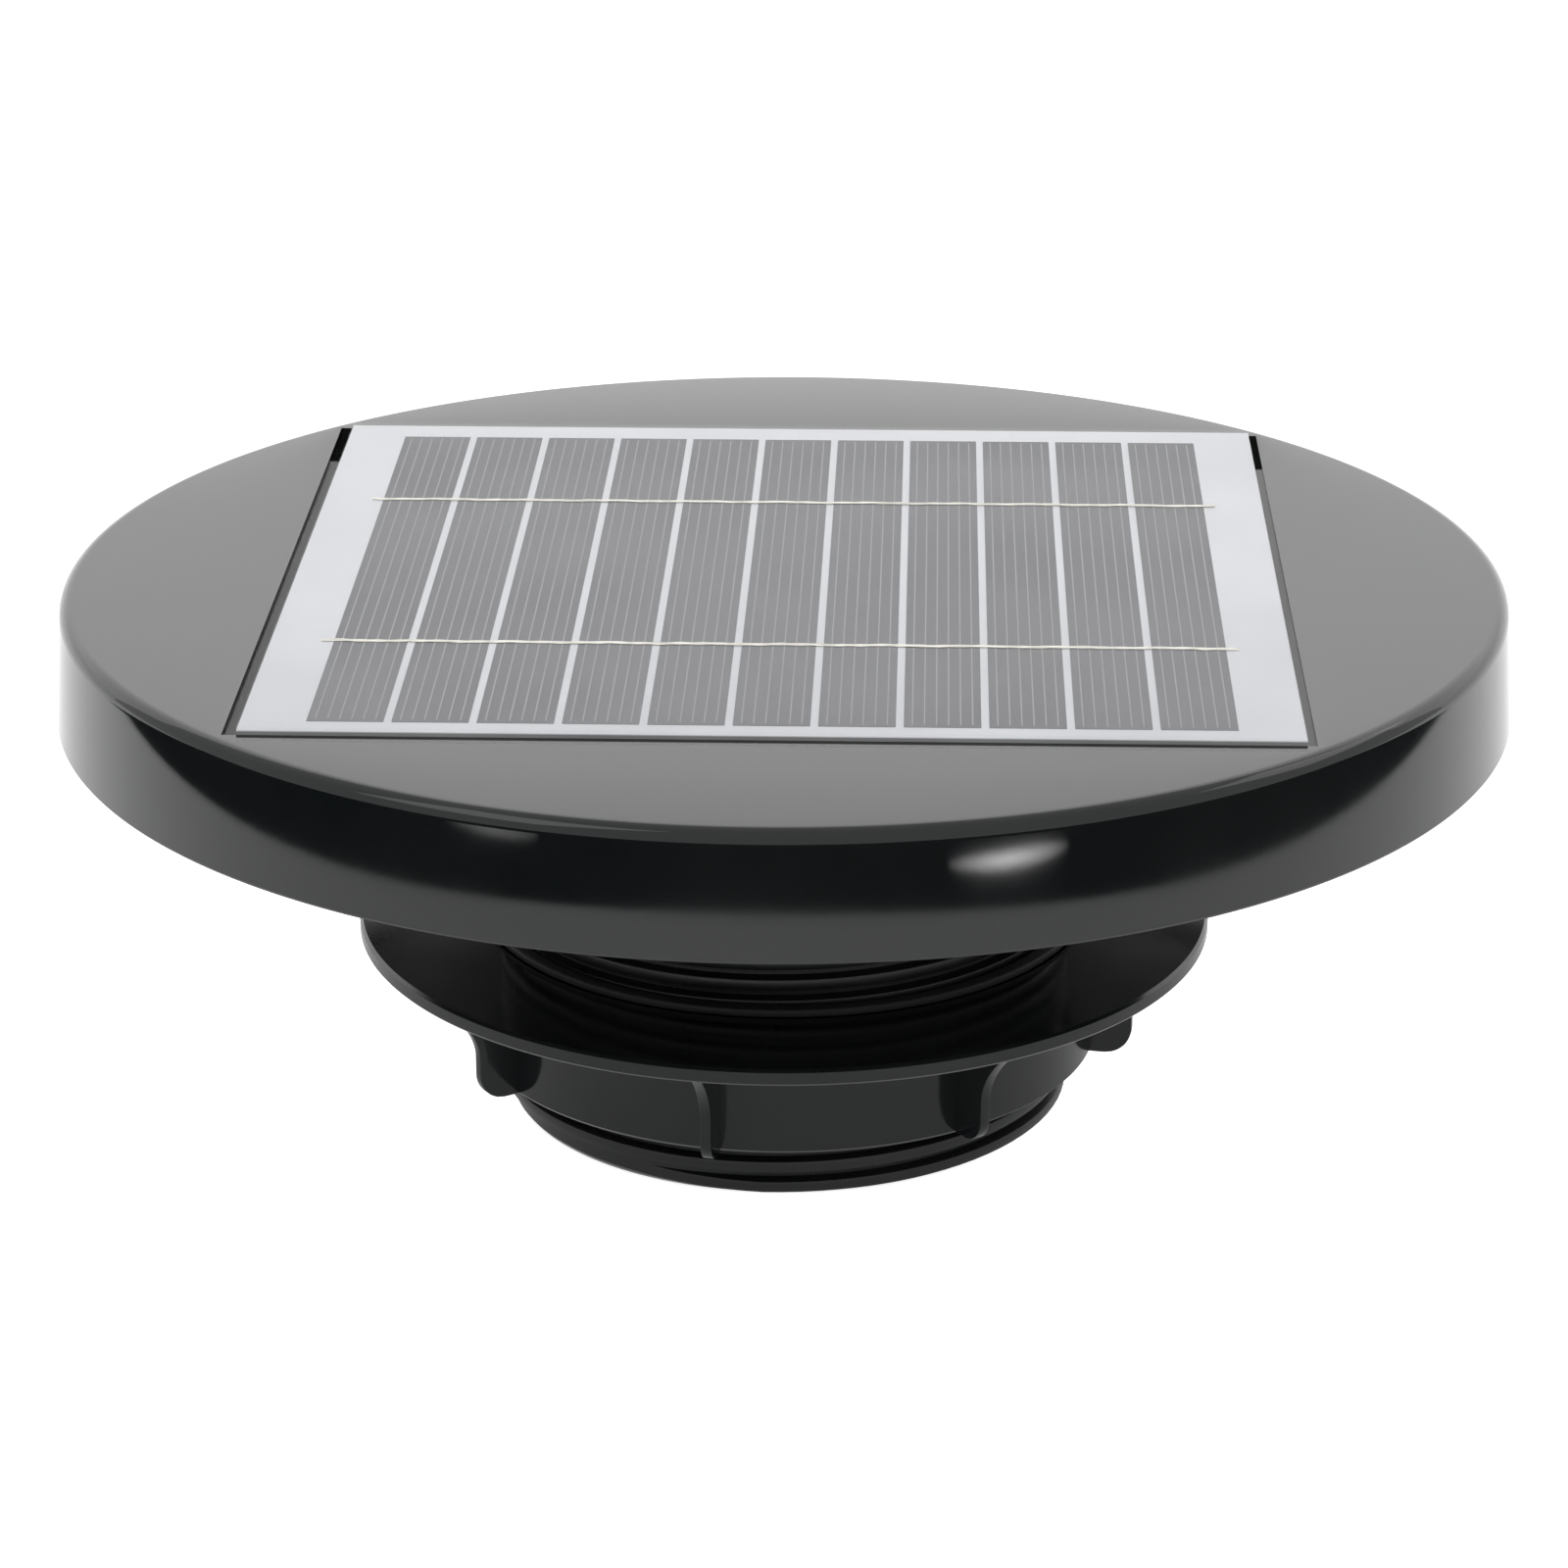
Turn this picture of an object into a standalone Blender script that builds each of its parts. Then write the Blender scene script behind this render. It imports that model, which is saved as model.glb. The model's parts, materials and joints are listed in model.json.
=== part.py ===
"""Solar attic fan: a round cap with a solar panel in its top, over a threaded roof duct with a clamp nut.

Units are metres, +Z is up, and the origin is the centre of the duct's lower end, on which the fan stands.
Run with: blender --background --python part.py
"""

import math

import bmesh
import bpy
from mathutils import Matrix, Vector

# ---- Driving dimensions -------------------------------------------------------------------------
GAP = 0.0003              # between faces that rest on each other
LAMINATE_GAP = 0.0001     # between the flat layers of the panel
OVERLAP = 0.0005          # how far a shape reaches into the one it is joined to
ROUND_SEGMENTS = 60       # facets round the cap
THREAD_SEGMENTS = 28      # facets round a threaded piece

TOTAL_HEIGHT = 0.0950     # duct's lower end to the cap's flat top

# Cap
CAP_RADIUS = 0.1250       # at the skirt's lower edge
CAP_DRAFT = 0.00125       # how much narrower the skirt is at its top
CAP_SKIRT = 0.0210        # height of the skirt
CAP_WALL = 0.0020
CAP_EDGE = 0.0025         # radius of the edge between top and skirt
TRAY_GAP = (0.0019, 0.0003)      # round the panel, at its sides and at its ends
TRAY_WALL = 0.0015
TRAY_FLOOR = 0.0018

# Solar panel
PANEL_SIDE = 0.1678
PANEL_SHIFT = (0.0004, 0.0)      # the panel was glued a little off centre
PANEL_PROUD = 0.0012
FILM_THICK = 0.0003
RIBBON_THICK = 0.0002
CELL_THICK = 0.0003
BACKSHEET_THICK = 0.0027
SEALANT_THICK = 0.0005
SEALANT_WIDTH = 0.0060
CELL_COUNT = 11
CELL_LENGTH = 0.1560
CELL_WIDTH = 0.0122
CELL_PITCH = 0.01345
CELL_SHIFT_Y = -0.0015    # the string of cells sits a little nearer the front
RIBBON_WIDTH = 0.0016
RIBBON_TAIL = 0.0020      # ribbon that runs on past the outer cells

# Duct, with its roof flange
DUCT_BORE = 0.0440        # radius
DUCT_WALL = 0.0042
THREAD_DEPTH = 0.0018
THREAD_PITCH = 0.0037
THREAD_START = -0.0023    # height of the ridge's lower edge at angle 0, had it not been cut off by the end
THREAD_LEAD = 0.66        # turns before the ridge has risen clear of the end
THREAD_RUNOUT = 0.0070    # plain stretch under the flange
FLANGE_RADIUS = 0.0850
FLANGE_THICK = 0.0030
FLANGE_Z = 0.0610         # underside
DUCT_TOP_Z = 0.0710
GASKET_THICK = 0.0025
GASKET_CLEARANCE = 0.0015        # round the thread
GASKET_INSET = 0.0030            # from the flange's edge

# Clamp nut
NUT_PLATE_WIDTH = 0.0195  # from the collar out to the plate's edge
NUT_PLATE_TOP_Z = 0.0344
NUT_PLATE_THICK = 0.0029
NUT_COLLAR_WALL = 0.0045
NUT_COLLAR_BOTTOM_Z = 0.0105
THREAD_PLAY = 0.0005      # clearance between the nut's thread and the duct's
FIN_COUNT = 8
FIN_THICK = 0.0018
FIN_TOP_INSET = 0.0030    # from the plate's edge to a fin's upper end
FIN_WIDTH = 0.0073        # how far a fin's lower half stands out of the collar
FIN_HEEL = 0.0048         # radius of its foot
FIN_FLARE = 0.0125        # height over which it widens under the plate
FIN_FIRST_ANGLE = -100.4  # degrees
SEAL_HEIGHT = 0.0014
SEAL_WIDTH = 0.0025
SEAL_SEAT_DEPTH = 0.0003  # step in the nut's plate that the seal lies in

# Cap screws, with their pillars and bosses
PILLAR_CIRCLE = 0.0660
PILLAR_RADIUS = 0.0050
PILLAR_COUNT = 4
BOSS_RADIUS = 0.0045
BOSS_HEIGHT = 0.0068
CAP_SCREW_RADIUS = 0.0017
CAP_SCREW_HOLD = 0.0047   # length in the boss
SCREW_HEAD_RADIUS = 0.0034
SCREW_HEAD_HEIGHT = 0.0026

# Motor bracket, with its screws
ARM_COUNT = 3
ARM_WIDTH = 0.0050
BRACKET_THICK = 0.0030
EAR_OFFSET = 0.0033       # from the duct's outer wall
EAR_RADIUS = 0.0040
EAR_BOSS_RADIUS = 0.0035
BRACKET_SCREW_RADIUS = 0.0012
BRACKET_SCREW_LENGTH = 0.0080
BRACKET_SCREW_HEAD = 0.0028
BRACKET_HEAD_HEIGHT = 0.0020
CUP_WALL = 0.0018
CUP_FLOOR = 0.0015

# Motor
MOTOR_RADIUS = 0.0122
MOTOR_WALL = 0.0010
MOTOR_FRONT_Z = 0.0600    # the can's flat front, which faces down
MOTOR_LENGTH = 0.0200
MOTOR_NOSE = 0.0025       # bearing seat that stands out of the front
NOSE_RADIUS = 0.0032
BUSH_RADIUS = 0.0020
SHAFT_RADIUS = 0.0010
SHAFT_PLAY = 0.0002
SHAFT_BOTTOM_Z = 0.0425
MAGNET_THICK = 0.0018
MAGNET_HEIGHT = 0.0140
MAGNET_ANGLE = 130.0      # degrees
AIR_GAP = 0.0006
CORE_HEIGHT = 0.0100
POLE_COUNT = 3
COMMUTATOR_RADIUS = 0.0030
COMMUTATOR_HEIGHT = 0.0028
END_CAP_THICK = 0.0027
MOTOR_SCREW_CIRCLE = 0.0075
MOTOR_SCREW_RADIUS = 0.0009
MOTOR_SCREW_LENGTH = 0.0032
MOTOR_SCREW_HEAD = 0.0017
MOTOR_HEAD_HEIGHT = 0.0012
TERMINAL_CIRCLE = 0.0080

# Impeller
BLADE_CLEARANCE = 0.0016
HUB_RADIUS = 0.0125
HUB_BOTTOM_Z = 0.0410
HUB_TOP_Z = 0.0555
HUB_WALL = 0.0018
HUB_SOCKET_RADIUS = 0.0035
BLADE_COUNT = 7
BLADE_THICK = 0.0014
BLADE_CHORD = 0.0200
BLADE_ROOT_ANGLE = 42.0   # degrees from the fan's plane
BLADE_TIP_ANGLE = 24.0

# Inlet guard
GRILLE_SEAT_LEDGE = 0.0012
GRILLE_SEAT_DEPTH = 0.0030
GRILLE_RING_WIDTH = 0.0015
GRILLE_RING_STEP = 0.0078
GRILLE_RINGS = 4
GRILLE_SPOKES = 6
GRILLE_THICK = 0.0019
GRILLE_HUB_RADIUS = 0.0080

# Leads
LEAD_RADIUS = 0.00075
LEAD_SPACING = 0.0024
LEAD_STRAIGHT = 0.0030    # longest straight run below the grommet
GROMMET_X = 0.0240
GROMMET_HOLE = 0.0042     # radius of the hole in the tray's floor
GROMMET_BORE = 0.0024
GROMMET_FLANGE = 0.0058

# Radii that follow from these
THREAD_ROOT = DUCT_BORE + DUCT_WALL
THREAD_CREST = THREAD_ROOT + THREAD_DEPTH
GRILLE_SEAT_RADIUS = DUCT_BORE + GRILLE_SEAT_LEDGE
GRILLE_RADIUS = GRILLE_SEAT_RADIUS - GAP
IMPELLER_RADIUS = DUCT_BORE - BLADE_CLEARANCE
GASKET_INNER = THREAD_CREST + GASKET_CLEARANCE
GASKET_OUTER = FLANGE_RADIUS - GASKET_INSET
EAR_CIRCLE = THREAD_ROOT + EAR_OFFSET
NUT_BORE = THREAD_CREST + THREAD_PLAY
NUT_COLLAR_RADIUS = NUT_BORE + NUT_COLLAR_WALL
NUT_PLATE_RADIUS = NUT_COLLAR_RADIUS + NUT_PLATE_WIDTH
SEAL_OUTER = NUT_BORE + SEAL_WIDTH
SEAL_SEAT_RADIUS = SEAL_OUTER + GAP
FIN_REACH = NUT_COLLAR_RADIUS + FIN_WIDTH
FIN_TOP_REACH = NUT_PLATE_RADIUS - FIN_TOP_INSET

# Heights that follow from these
PANEL_TOP_Z = TOTAL_HEIGHT + PANEL_PROUD
FILM_Z = PANEL_TOP_Z - FILM_THICK
RIBBON_Z = FILM_Z - LAMINATE_GAP - RIBBON_THICK
CELL_Z = RIBBON_Z - LAMINATE_GAP - CELL_THICK
BACKSHEET_Z = CELL_Z - LAMINATE_GAP - BACKSHEET_THICK
SEALANT_Z = BACKSHEET_Z - LAMINATE_GAP - SEALANT_THICK
TRAY_FLOOR_TOP_Z = SEALANT_Z - LAMINATE_GAP
TRAY_UNDERSIDE_Z = TRAY_FLOOR_TOP_Z - TRAY_FLOOR
BOSS_BOTTOM_Z = TRAY_UNDERSIDE_Z - BOSS_HEIGHT
PILLAR_TOP_Z = BOSS_BOTTOM_Z - GAP
FLANGE_TOP_Z = FLANGE_Z + FLANGE_THICK
GASKET_Z = FLANGE_Z - GAP - GASKET_THICK
BRACKET_Z = DUCT_TOP_Z + GAP
BRACKET_TOP_Z = BRACKET_Z + BRACKET_THICK
MOTOR_BACK_Z = MOTOR_FRONT_Z + MOTOR_LENGTH
CORE_Z = MOTOR_FRONT_Z + 0.0040
COMMUTATOR_Z = CORE_Z + CORE_HEIGHT + 0.0020
END_CAP_Z = MOTOR_BACK_Z + LAMINATE_GAP
NUT_PLATE_Z = NUT_PLATE_TOP_Z - NUT_PLATE_THICK

# ---- Helpers ------------------------------------------------------------------------------------


def clear_scene():
    for obj in list(bpy.data.objects):
        bpy.data.objects.remove(obj, do_unlink=True)


clear_scene()
PARTS = bpy.data.collections.new("solar_attic_fan")
CUTTERS = bpy.data.collections.new("cutters")
bpy.context.scene.collection.children.link(PARTS)
bpy.context.scene.collection.children.link(CUTTERS)


def material(name, colour, roughness, metallic=0.0):
    made = bpy.data.materials.new(name)
    made.use_nodes = True
    shader = made.node_tree.nodes["Principled BSDF"]
    shader.inputs["Base Color"].default_value = (*colour, 1.0)
    shader.inputs["Roughness"].default_value = roughness
    shader.inputs["Metallic"].default_value = metallic
    return made


CAP_BLACK = material("cap_black", (0.02, 0.022, 0.024), 0.18)
DUCT_BLACK = material("duct_black", (0.02, 0.021, 0.022), 0.3)
NUT_BLACK = material("nut_black", (0.025, 0.026, 0.027), 0.25)
RUBBER = material("seal_rubber", (0.03, 0.03, 0.03), 0.7)
FILM = material("panel_film", (0.85, 0.88, 0.9), 0.1)
BACKSHEET_WHITE = material("backsheet_white", (0.8, 0.81, 0.82), 0.5)
CELL_GREY = material("cell_silicon", (0.2, 0.2, 0.23), 0.35)
TINNED = material("tinned_ribbon", (0.7, 0.69, 0.66), 0.35, 1.0)
SEALANT_WHITE = material("panel_sealant", (0.75, 0.75, 0.73), 0.6)
STEEL = material("steel", (0.6, 0.6, 0.6), 0.3, 1.0)
BRONZE = material("bronze", (0.6, 0.4, 0.2), 0.4, 1.0)
COPPER = material("copper", (0.72, 0.35, 0.2), 0.35, 1.0)
MAGNET_GREY = material("magnet_ferrite", (0.08, 0.08, 0.085), 0.6)
MOTOR_PLASTIC = material("motor_end_plastic", (0.85, 0.84, 0.8), 0.5)
IMPELLER_BLACK = material("impeller_black", (0.03, 0.03, 0.032), 0.35)
RED_LEAD = material("lead_red", (0.6, 0.03, 0.03), 0.5)
BLACK_LEAD = material("lead_black", (0.02, 0.02, 0.02), 0.5)


def link(obj, finish=None):
    """A part goes in the parts' collection with its finish; an object without one is a cutter or a shape to join."""
    if finish is None:
        CUTTERS.objects.link(obj)
        obj.hide_render = True
        obj.display_type = "WIRE"
    else:
        PARTS.objects.link(obj)
        obj.data.materials.append(finish)
    return obj


def object_from(name, mesh_data, finish=None):
    mesh = bpy.data.meshes.new(name)
    mesh_data.to_mesh(mesh)
    mesh_data.free()
    return link(bpy.data.objects.new(name, mesh), finish)


def cylinder(name, radius, z_low, z_high, at=(0.0, 0.0), finish=None, segments=24):
    shape = bmesh.new()
    bmesh.ops.create_cone(shape, cap_ends=True, segments=segments, radius1=radius, radius2=radius,
                          depth=z_high - z_low)
    bmesh.ops.translate(shape, verts=shape.verts, vec=(at[0], at[1], (z_low + z_high) / 2))
    return object_from(name, shape, finish)


def box(name, size, low_z, at=(0.0, 0.0), turn=0.0, finish=None):
    """A box of this size (x, y, z) on the height low_z, centred on at and then turned about the Z axis, in radians."""
    shape = bmesh.new()
    bmesh.ops.create_cube(shape, size=1.0)
    bmesh.ops.scale(shape, verts=shape.verts, vec=size)
    bmesh.ops.translate(shape, verts=shape.verts, vec=(at[0], at[1], low_z + size[2] / 2))
    bmesh.ops.rotate(shape, verts=shape.verts, cent=(0, 0, 0), matrix=Matrix.Rotation(turn, 3, "Z"))
    return object_from(name, shape, finish)


def turned(name, profile, finish=None, segments=ROUND_SEGMENTS, closed=True):
    """Turns a profile of (radius, height) points about the Z axis. The profile runs down its outer side.
    A closed profile is a ring; an open one starts and ends on the axis."""
    shape = bmesh.new()
    points = [shape.verts.new((r, 0.0, z)) for r, z in profile]
    for low, high in zip(points, points[1:]):
        shape.edges.new((low, high))
    if closed:
        shape.edges.new((points[-1], points[0]))
    obj = object_from(name, shape, finish)
    screw = obj.modifiers.new("Turn", "SCREW")
    screw.steps = segments
    screw.render_steps = segments
    screw.use_merge_vertices = True
    screw.merge_threshold = 0.00001
    screw.use_smooth_shade = False
    return obj


def ring(name, inner, outer, z_low, z_high, finish=None, segments=ROUND_SEGMENTS):
    profile = [(outer, z_high), (outer, z_low), (inner, z_low), (inner, z_high)]
    return turned(name, profile, finish, segments)


def outline_plate(name, outline, thickness, finish=None):
    """A flat plate in the XY plane, centred on z = 0, from a closed outline."""
    curve = bpy.data.curves.new(name + "_outline", "CURVE")
    curve.dimensions = "2D"
    curve.fill_mode = "BOTH"
    curve.extrude = thickness / 2
    spline = curve.splines.new("POLY")
    spline.points.add(len(outline) - 1)
    for point, (x, y) in zip(spline.points, outline):
        point.co = (x, y, 0.0, 1.0)
    spline.use_cyclic_u = True
    guide = bpy.data.objects.new(name + "_guide", curve)
    CUTTERS.objects.link(guide)
    bpy.context.view_layer.update()
    mesh = bpy.data.meshes.new_from_object(guide.evaluated_get(bpy.context.evaluated_depsgraph_get()))
    bpy.data.objects.remove(guide)
    shape = bmesh.new()
    shape.from_mesh(mesh)
    bpy.data.meshes.remove(mesh)
    bmesh.ops.remove_doubles(shape, verts=shape.verts, dist=0.00001)
    bmesh.ops.recalc_face_normals(shape, faces=shape.faces)
    return object_from(name, shape, finish)


def arc(centre, radius, start, end, steps):
    """Points on an arc, with its angles in degrees."""
    angles = [math.radians(start + (end - start) * k / steps) for k in range(steps + 1)]
    return [(centre[0] + radius * math.cos(a), centre[1] + radius * math.sin(a)) for a in angles]


def join(target, other):
    change = target.modifiers.new("Join_" + other.name, "BOOLEAN")
    change.operation = "UNION"
    change.object = other


def cut(target, other):
    change = target.modifiers.new("Cut_" + other.name, "BOOLEAN")
    change.operation = "DIFFERENCE"
    change.object = other


def on_circle(radius, angle):
    return (radius * math.cos(angle), radius * math.sin(angle))


def evenly(count, first=0.0):
    """Angles in radians of count places evenly round a circle, the first at this many degrees."""
    return [math.radians(first) + 2 * math.pi * k / count for k in range(count)]


def threaded(name, before, after, root, crest, start, turns, half_root, half_crest, finish, lead=0.0):
    """A closed solid turned from the loop before + thread + after, each a list of (radius, height) points.
    The thread is a right-handed ridge of THREAD_PITCH, a whole number of turns long. It grows from the wall
    after lead turns and runs out into it again."""
    segments = THREAD_SEGMENTS
    fade = 0.25  # turns over which the ridge grows or runs out
    lowest = before[-1][1]
    turns -= 1  # the last turn is the columns' own overlap

    def ridge(s):
        """The ridge's four corners where it is s turns from its start."""
        grown = (s - lead) / (fade / 3 if lead else fade)
        height = min(1.0, grown, (turns + 1 - s) / fade)
        reach = root + (crest - root) * max(0.0, height)
        middle = start + s * THREAD_PITCH
        corners = [(root, middle - half_root), (reach, middle - half_crest),
                   (reach, middle + half_crest), (root, middle + half_root)]
        # Below the lead the ridge is flat on the wall, so its corners may be kept clear of the end.
        return [(radius, max(z, lowest + (k + 1) * GAP / 2)) for k, (radius, z) in enumerate(corners)]

    shape = bmesh.new()
    columns = []
    for step in range(segments):
        angle = 2 * math.pi * step / segments
        whole_turns = turns + 1 if step else turns + 2
        points = list(before)
        for turn in range(whole_turns):
            points += ridge(turn + step / segments)
        points += after
        columns.append([shape.verts.new((r * math.cos(angle), r * math.sin(angle), z)) for r, z in points])
    ahead = len(before)
    for step in range(segments):
        here = columns[step]
        there = columns[(step + 1) % segments]
        if step < segments - 1 and step > 0:
            pairs = list(zip(here, there))
        elif step == 0:
            # The first column carries one more ridge at its upper end, where the ridge has run out.
            spare = here[ahead + 4 * (turns + 1):ahead + 4 * (turns + 2)]
            lower = list(zip(here[:ahead + 4 * (turns + 1)], there))
            upper = list(zip(here[ahead + 4 * (turns + 2):], there[ahead + 4 * (turns + 1):]))
            for (a, b), (c, d) in zip(lower, lower[1:]):
                shape.faces.new((a, b, d, c))
            (a, b), (c, d) = lower[-1], upper[0]
            shape.faces.new((a, b, d, c, *reversed(spare)))
            pairs = upper + lower[:1]
        else:
            # The last column meets the first one turn further up.
            spare = there[ahead:ahead + 4]
            lower = list(zip(here[:ahead], there[:ahead]))
            upper = list(zip(here[ahead:], there[ahead + 4:]))
            for (a, b), (c, d) in zip(lower, lower[1:]):
                shape.faces.new((a, b, d, c))
            (a, b), (c, d) = lower[-1], upper[0]
            shape.faces.new((a, b, *spare, d, c))
            pairs = upper + lower[:1]
        for (a, b), (c, d) in zip(pairs, pairs[1:]):
            shape.faces.new((a, b, d, c))
        if step < segments - 1 and step > 0:
            (a, b), (c, d) = pairs[-1], pairs[0]
            shape.faces.new((a, b, d, c))
    bmesh.ops.recalc_face_normals(shape, faces=shape.faces)
    return object_from(name, shape, finish)


def screw(name, radius, length, head_radius, head_height, head_z, at, finish, upwards):
    """A pan-head screw. Its shank leaves the head's plane at head_z upwards or downwards."""
    way = 1.0 if upwards else -1.0
    profile = [(0.0, length), (radius * 0.6, length), (radius, length - radius), (radius, 0.0),
               (head_radius, 0.0), (head_radius, -head_height * 0.6), (head_radius * 0.7, -head_height),
               (0.0, -head_height)]
    if not upwards:
        profile = [(r, -z) for r, z in reversed(profile)]
    profile = [(r, head_z + z) for r, z in profile]
    obj = turned(name, profile, finish, segments=12, closed=False)
    obj.location = (at[0], at[1], 0.0)
    drive = box(name + "_drive", (head_radius * 1.3, head_radius * 0.3, head_height * 0.5),
                head_z - way * head_height - head_height * 0.25)
    drive.location = obj.location
    cross = box(name + "_cross", (head_radius * 0.3, head_radius * 1.3, head_height * 0.5),
                head_z - way * head_height - head_height * 0.25)
    cross.location = obj.location
    cut(obj, drive)
    cut(obj, cross)
    return obj


# ---- Cap ----------------------------------------------------------------------------------------


def make_cap():
    top = TOTAL_HEIGHT
    low = top - CAP_SKIRT
    shoulder = CAP_RADIUS - CAP_DRAFT
    outer = [(0.0, top)]
    outer += [(r, z) for r, z in arc((shoulder - CAP_EDGE, top - CAP_EDGE), CAP_EDGE, 90, 0, 4)]
    outer += [(CAP_RADIUS, low)]
    inner = [(CAP_RADIUS - CAP_WALL, low), (shoulder - CAP_WALL, top - CAP_WALL - CAP_EDGE),
             (shoulder - CAP_WALL - CAP_EDGE, top - CAP_WALL), (0.0, top - CAP_WALL)]
    cap = turned("cap_shell", outer + inner, CAP_BLACK, closed=False)
    tray = [PANEL_SIDE + 2 * gap for gap in TRAY_GAP]
    tray_height = top - CAP_WALL / 2 - TRAY_UNDERSIDE_Z
    join(cap, box("tray_body", (tray[0] + 2 * TRAY_WALL, tray[1] + 2 * TRAY_WALL, tray_height), TRAY_UNDERSIDE_Z))
    cut(cap, box("tray_recess", (tray[0], tray[1], top), TRAY_FLOOR_TOP_Z))
    for number, angle in enumerate(evenly(PILLAR_COUNT, 45), 1):
        place = on_circle(PILLAR_CIRCLE, angle)
        join(cap, cylinder(f"cap_boss_{number}", BOSS_RADIUS, BOSS_BOTTOM_Z, TRAY_UNDERSIDE_Z + OVERLAP, place))
        cut(cap, cylinder(f"cap_pilot_{number}", CAP_SCREW_RADIUS + GAP, BOSS_BOTTOM_Z - OVERLAP,
                          TRAY_UNDERSIDE_Z - OVERLAP, place, segments=16))
    cut(cap, cylinder("grommet_hole", GROMMET_HOLE, TRAY_UNDERSIDE_Z - OVERLAP, TRAY_FLOOR_TOP_Z + OVERLAP,
                      (GROMMET_X, 0.0)))


# ---- Solar panel --------------------------------------------------------------------------------


def make_panel():
    x, y = PANEL_SHIFT
    side = PANEL_SIDE
    box("panel_cover_film", (side, side, FILM_THICK), FILM_Z, (x, y), finish=FILM)
    box("panel_backsheet", (side, side, BACKSHEET_THICK), BACKSHEET_Z, (x, y), finish=BACKSHEET_WHITE)
    sealant = box("panel_sealant", (side - 0.004, side - 0.004, SEALANT_THICK), SEALANT_Z, (x, y),
                  finish=SEALANT_WHITE)
    inside = side - 0.004 - 2 * SEALANT_WIDTH
    cut(sealant, box("sealant_middle", (inside, inside, SEALANT_THICK * 4), SEALANT_Z - SEALANT_THICK, (x, y)))
    for number in range(CELL_COUNT):
        cell_x = x + (number - (CELL_COUNT - 1) / 2) * CELL_PITCH
        box(f"solar_cell_{number + 1:02d}", (CELL_WIDTH, CELL_LENGTH, CELL_THICK), CELL_Z,
            (cell_x, y + CELL_SHIFT_Y), finish=CELL_GREY)
    string_length = (CELL_COUNT - 1) * CELL_PITCH + CELL_WIDTH + 2 * RIBBON_TAIL
    for name, way in (("busbar_ribbon_front", -1), ("busbar_ribbon_rear", 1)):
        box(name, (string_length, RIBBON_WIDTH, RIBBON_THICK), RIBBON_Z,
            (x, y + CELL_SHIFT_Y + way * CELL_LENGTH / 4), finish=TINNED)


# ---- Duct, flange and gasket --------------------------------------------------------------------


def make_duct():
    foot = 0.0010  # chamfer at the lower end
    before = [(DUCT_BORE, DUCT_TOP_Z), (DUCT_BORE, GRILLE_SEAT_DEPTH), (GRILLE_SEAT_RADIUS, GRILLE_SEAT_DEPTH),
              (GRILLE_SEAT_RADIUS, 0.0), (THREAD_ROOT - foot / 2, 0.0)]
    after = [(THREAD_ROOT, FLANGE_Z), (FLANGE_RADIUS, FLANGE_Z), (FLANGE_RADIUS, FLANGE_TOP_Z),
             (THREAD_ROOT, FLANGE_TOP_Z), (THREAD_ROOT, DUCT_TOP_Z)]
    half_root = THREAD_PITCH * 0.40
    half_crest = THREAD_PITCH * 0.25
    turns = int((FLANGE_Z - THREAD_START - THREAD_RUNOUT) / THREAD_PITCH)
    duct = threaded("base_duct", before, after, THREAD_ROOT, THREAD_CREST, THREAD_START + half_root, turns,
                    half_root, half_crest, DUCT_BLACK, lead=THREAD_LEAD)
    for number, angle in enumerate(evenly(PILLAR_COUNT, 45), 1):
        place = on_circle(PILLAR_CIRCLE, angle)
        join(duct, cylinder(f"pillar_{number}", PILLAR_RADIUS, FLANGE_TOP_Z - OVERLAP, PILLAR_TOP_Z, place))
        cut(duct, cylinder(f"pillar_hole_{number}", CAP_SCREW_RADIUS + GAP, FLANGE_Z - OVERLAP,
                           PILLAR_TOP_Z + OVERLAP, place, segments=16))
        cut(duct, cylinder(f"pillar_sink_{number}", SCREW_HEAD_RADIUS + GAP, FLANGE_Z - OVERLAP,
                           FLANGE_Z + SCREW_HEAD_HEIGHT + 2 * GAP, place, segments=16))
    for number, angle in enumerate(evenly(ARM_COUNT, 90), 1):
        place = on_circle(EAR_CIRCLE, angle)
        join(duct, cylinder(f"ear_boss_{number}", EAR_BOSS_RADIUS, FLANGE_TOP_Z - OVERLAP, DUCT_TOP_Z - OVERLAP / 5,
                            place))
        cut(duct, cylinder(f"ear_pilot_{number}", BRACKET_SCREW_RADIUS + GAP, FLANGE_TOP_Z + OVERLAP,
                           DUCT_TOP_Z + OVERLAP, place, segments=12))
    ring("roof_gasket", GASKET_INNER, GASKET_OUTER, GASKET_Z, GASKET_Z + GASKET_THICK, RUBBER, segments=36)


def make_cap_screws():
    head_z = FLANGE_Z + SCREW_HEAD_HEIGHT + GAP
    length = BOSS_BOTTOM_Z + CAP_SCREW_HOLD - head_z
    for number, angle in enumerate(evenly(PILLAR_COUNT, 45), 1):
        screw(f"cap_screw_{number}", CAP_SCREW_RADIUS, length, SCREW_HEAD_RADIUS, SCREW_HEAD_HEIGHT,
              head_z, on_circle(PILLAR_CIRCLE, angle), STEEL, upwards=True)


# ---- Inlet guard --------------------------------------------------------------------------------


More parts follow.
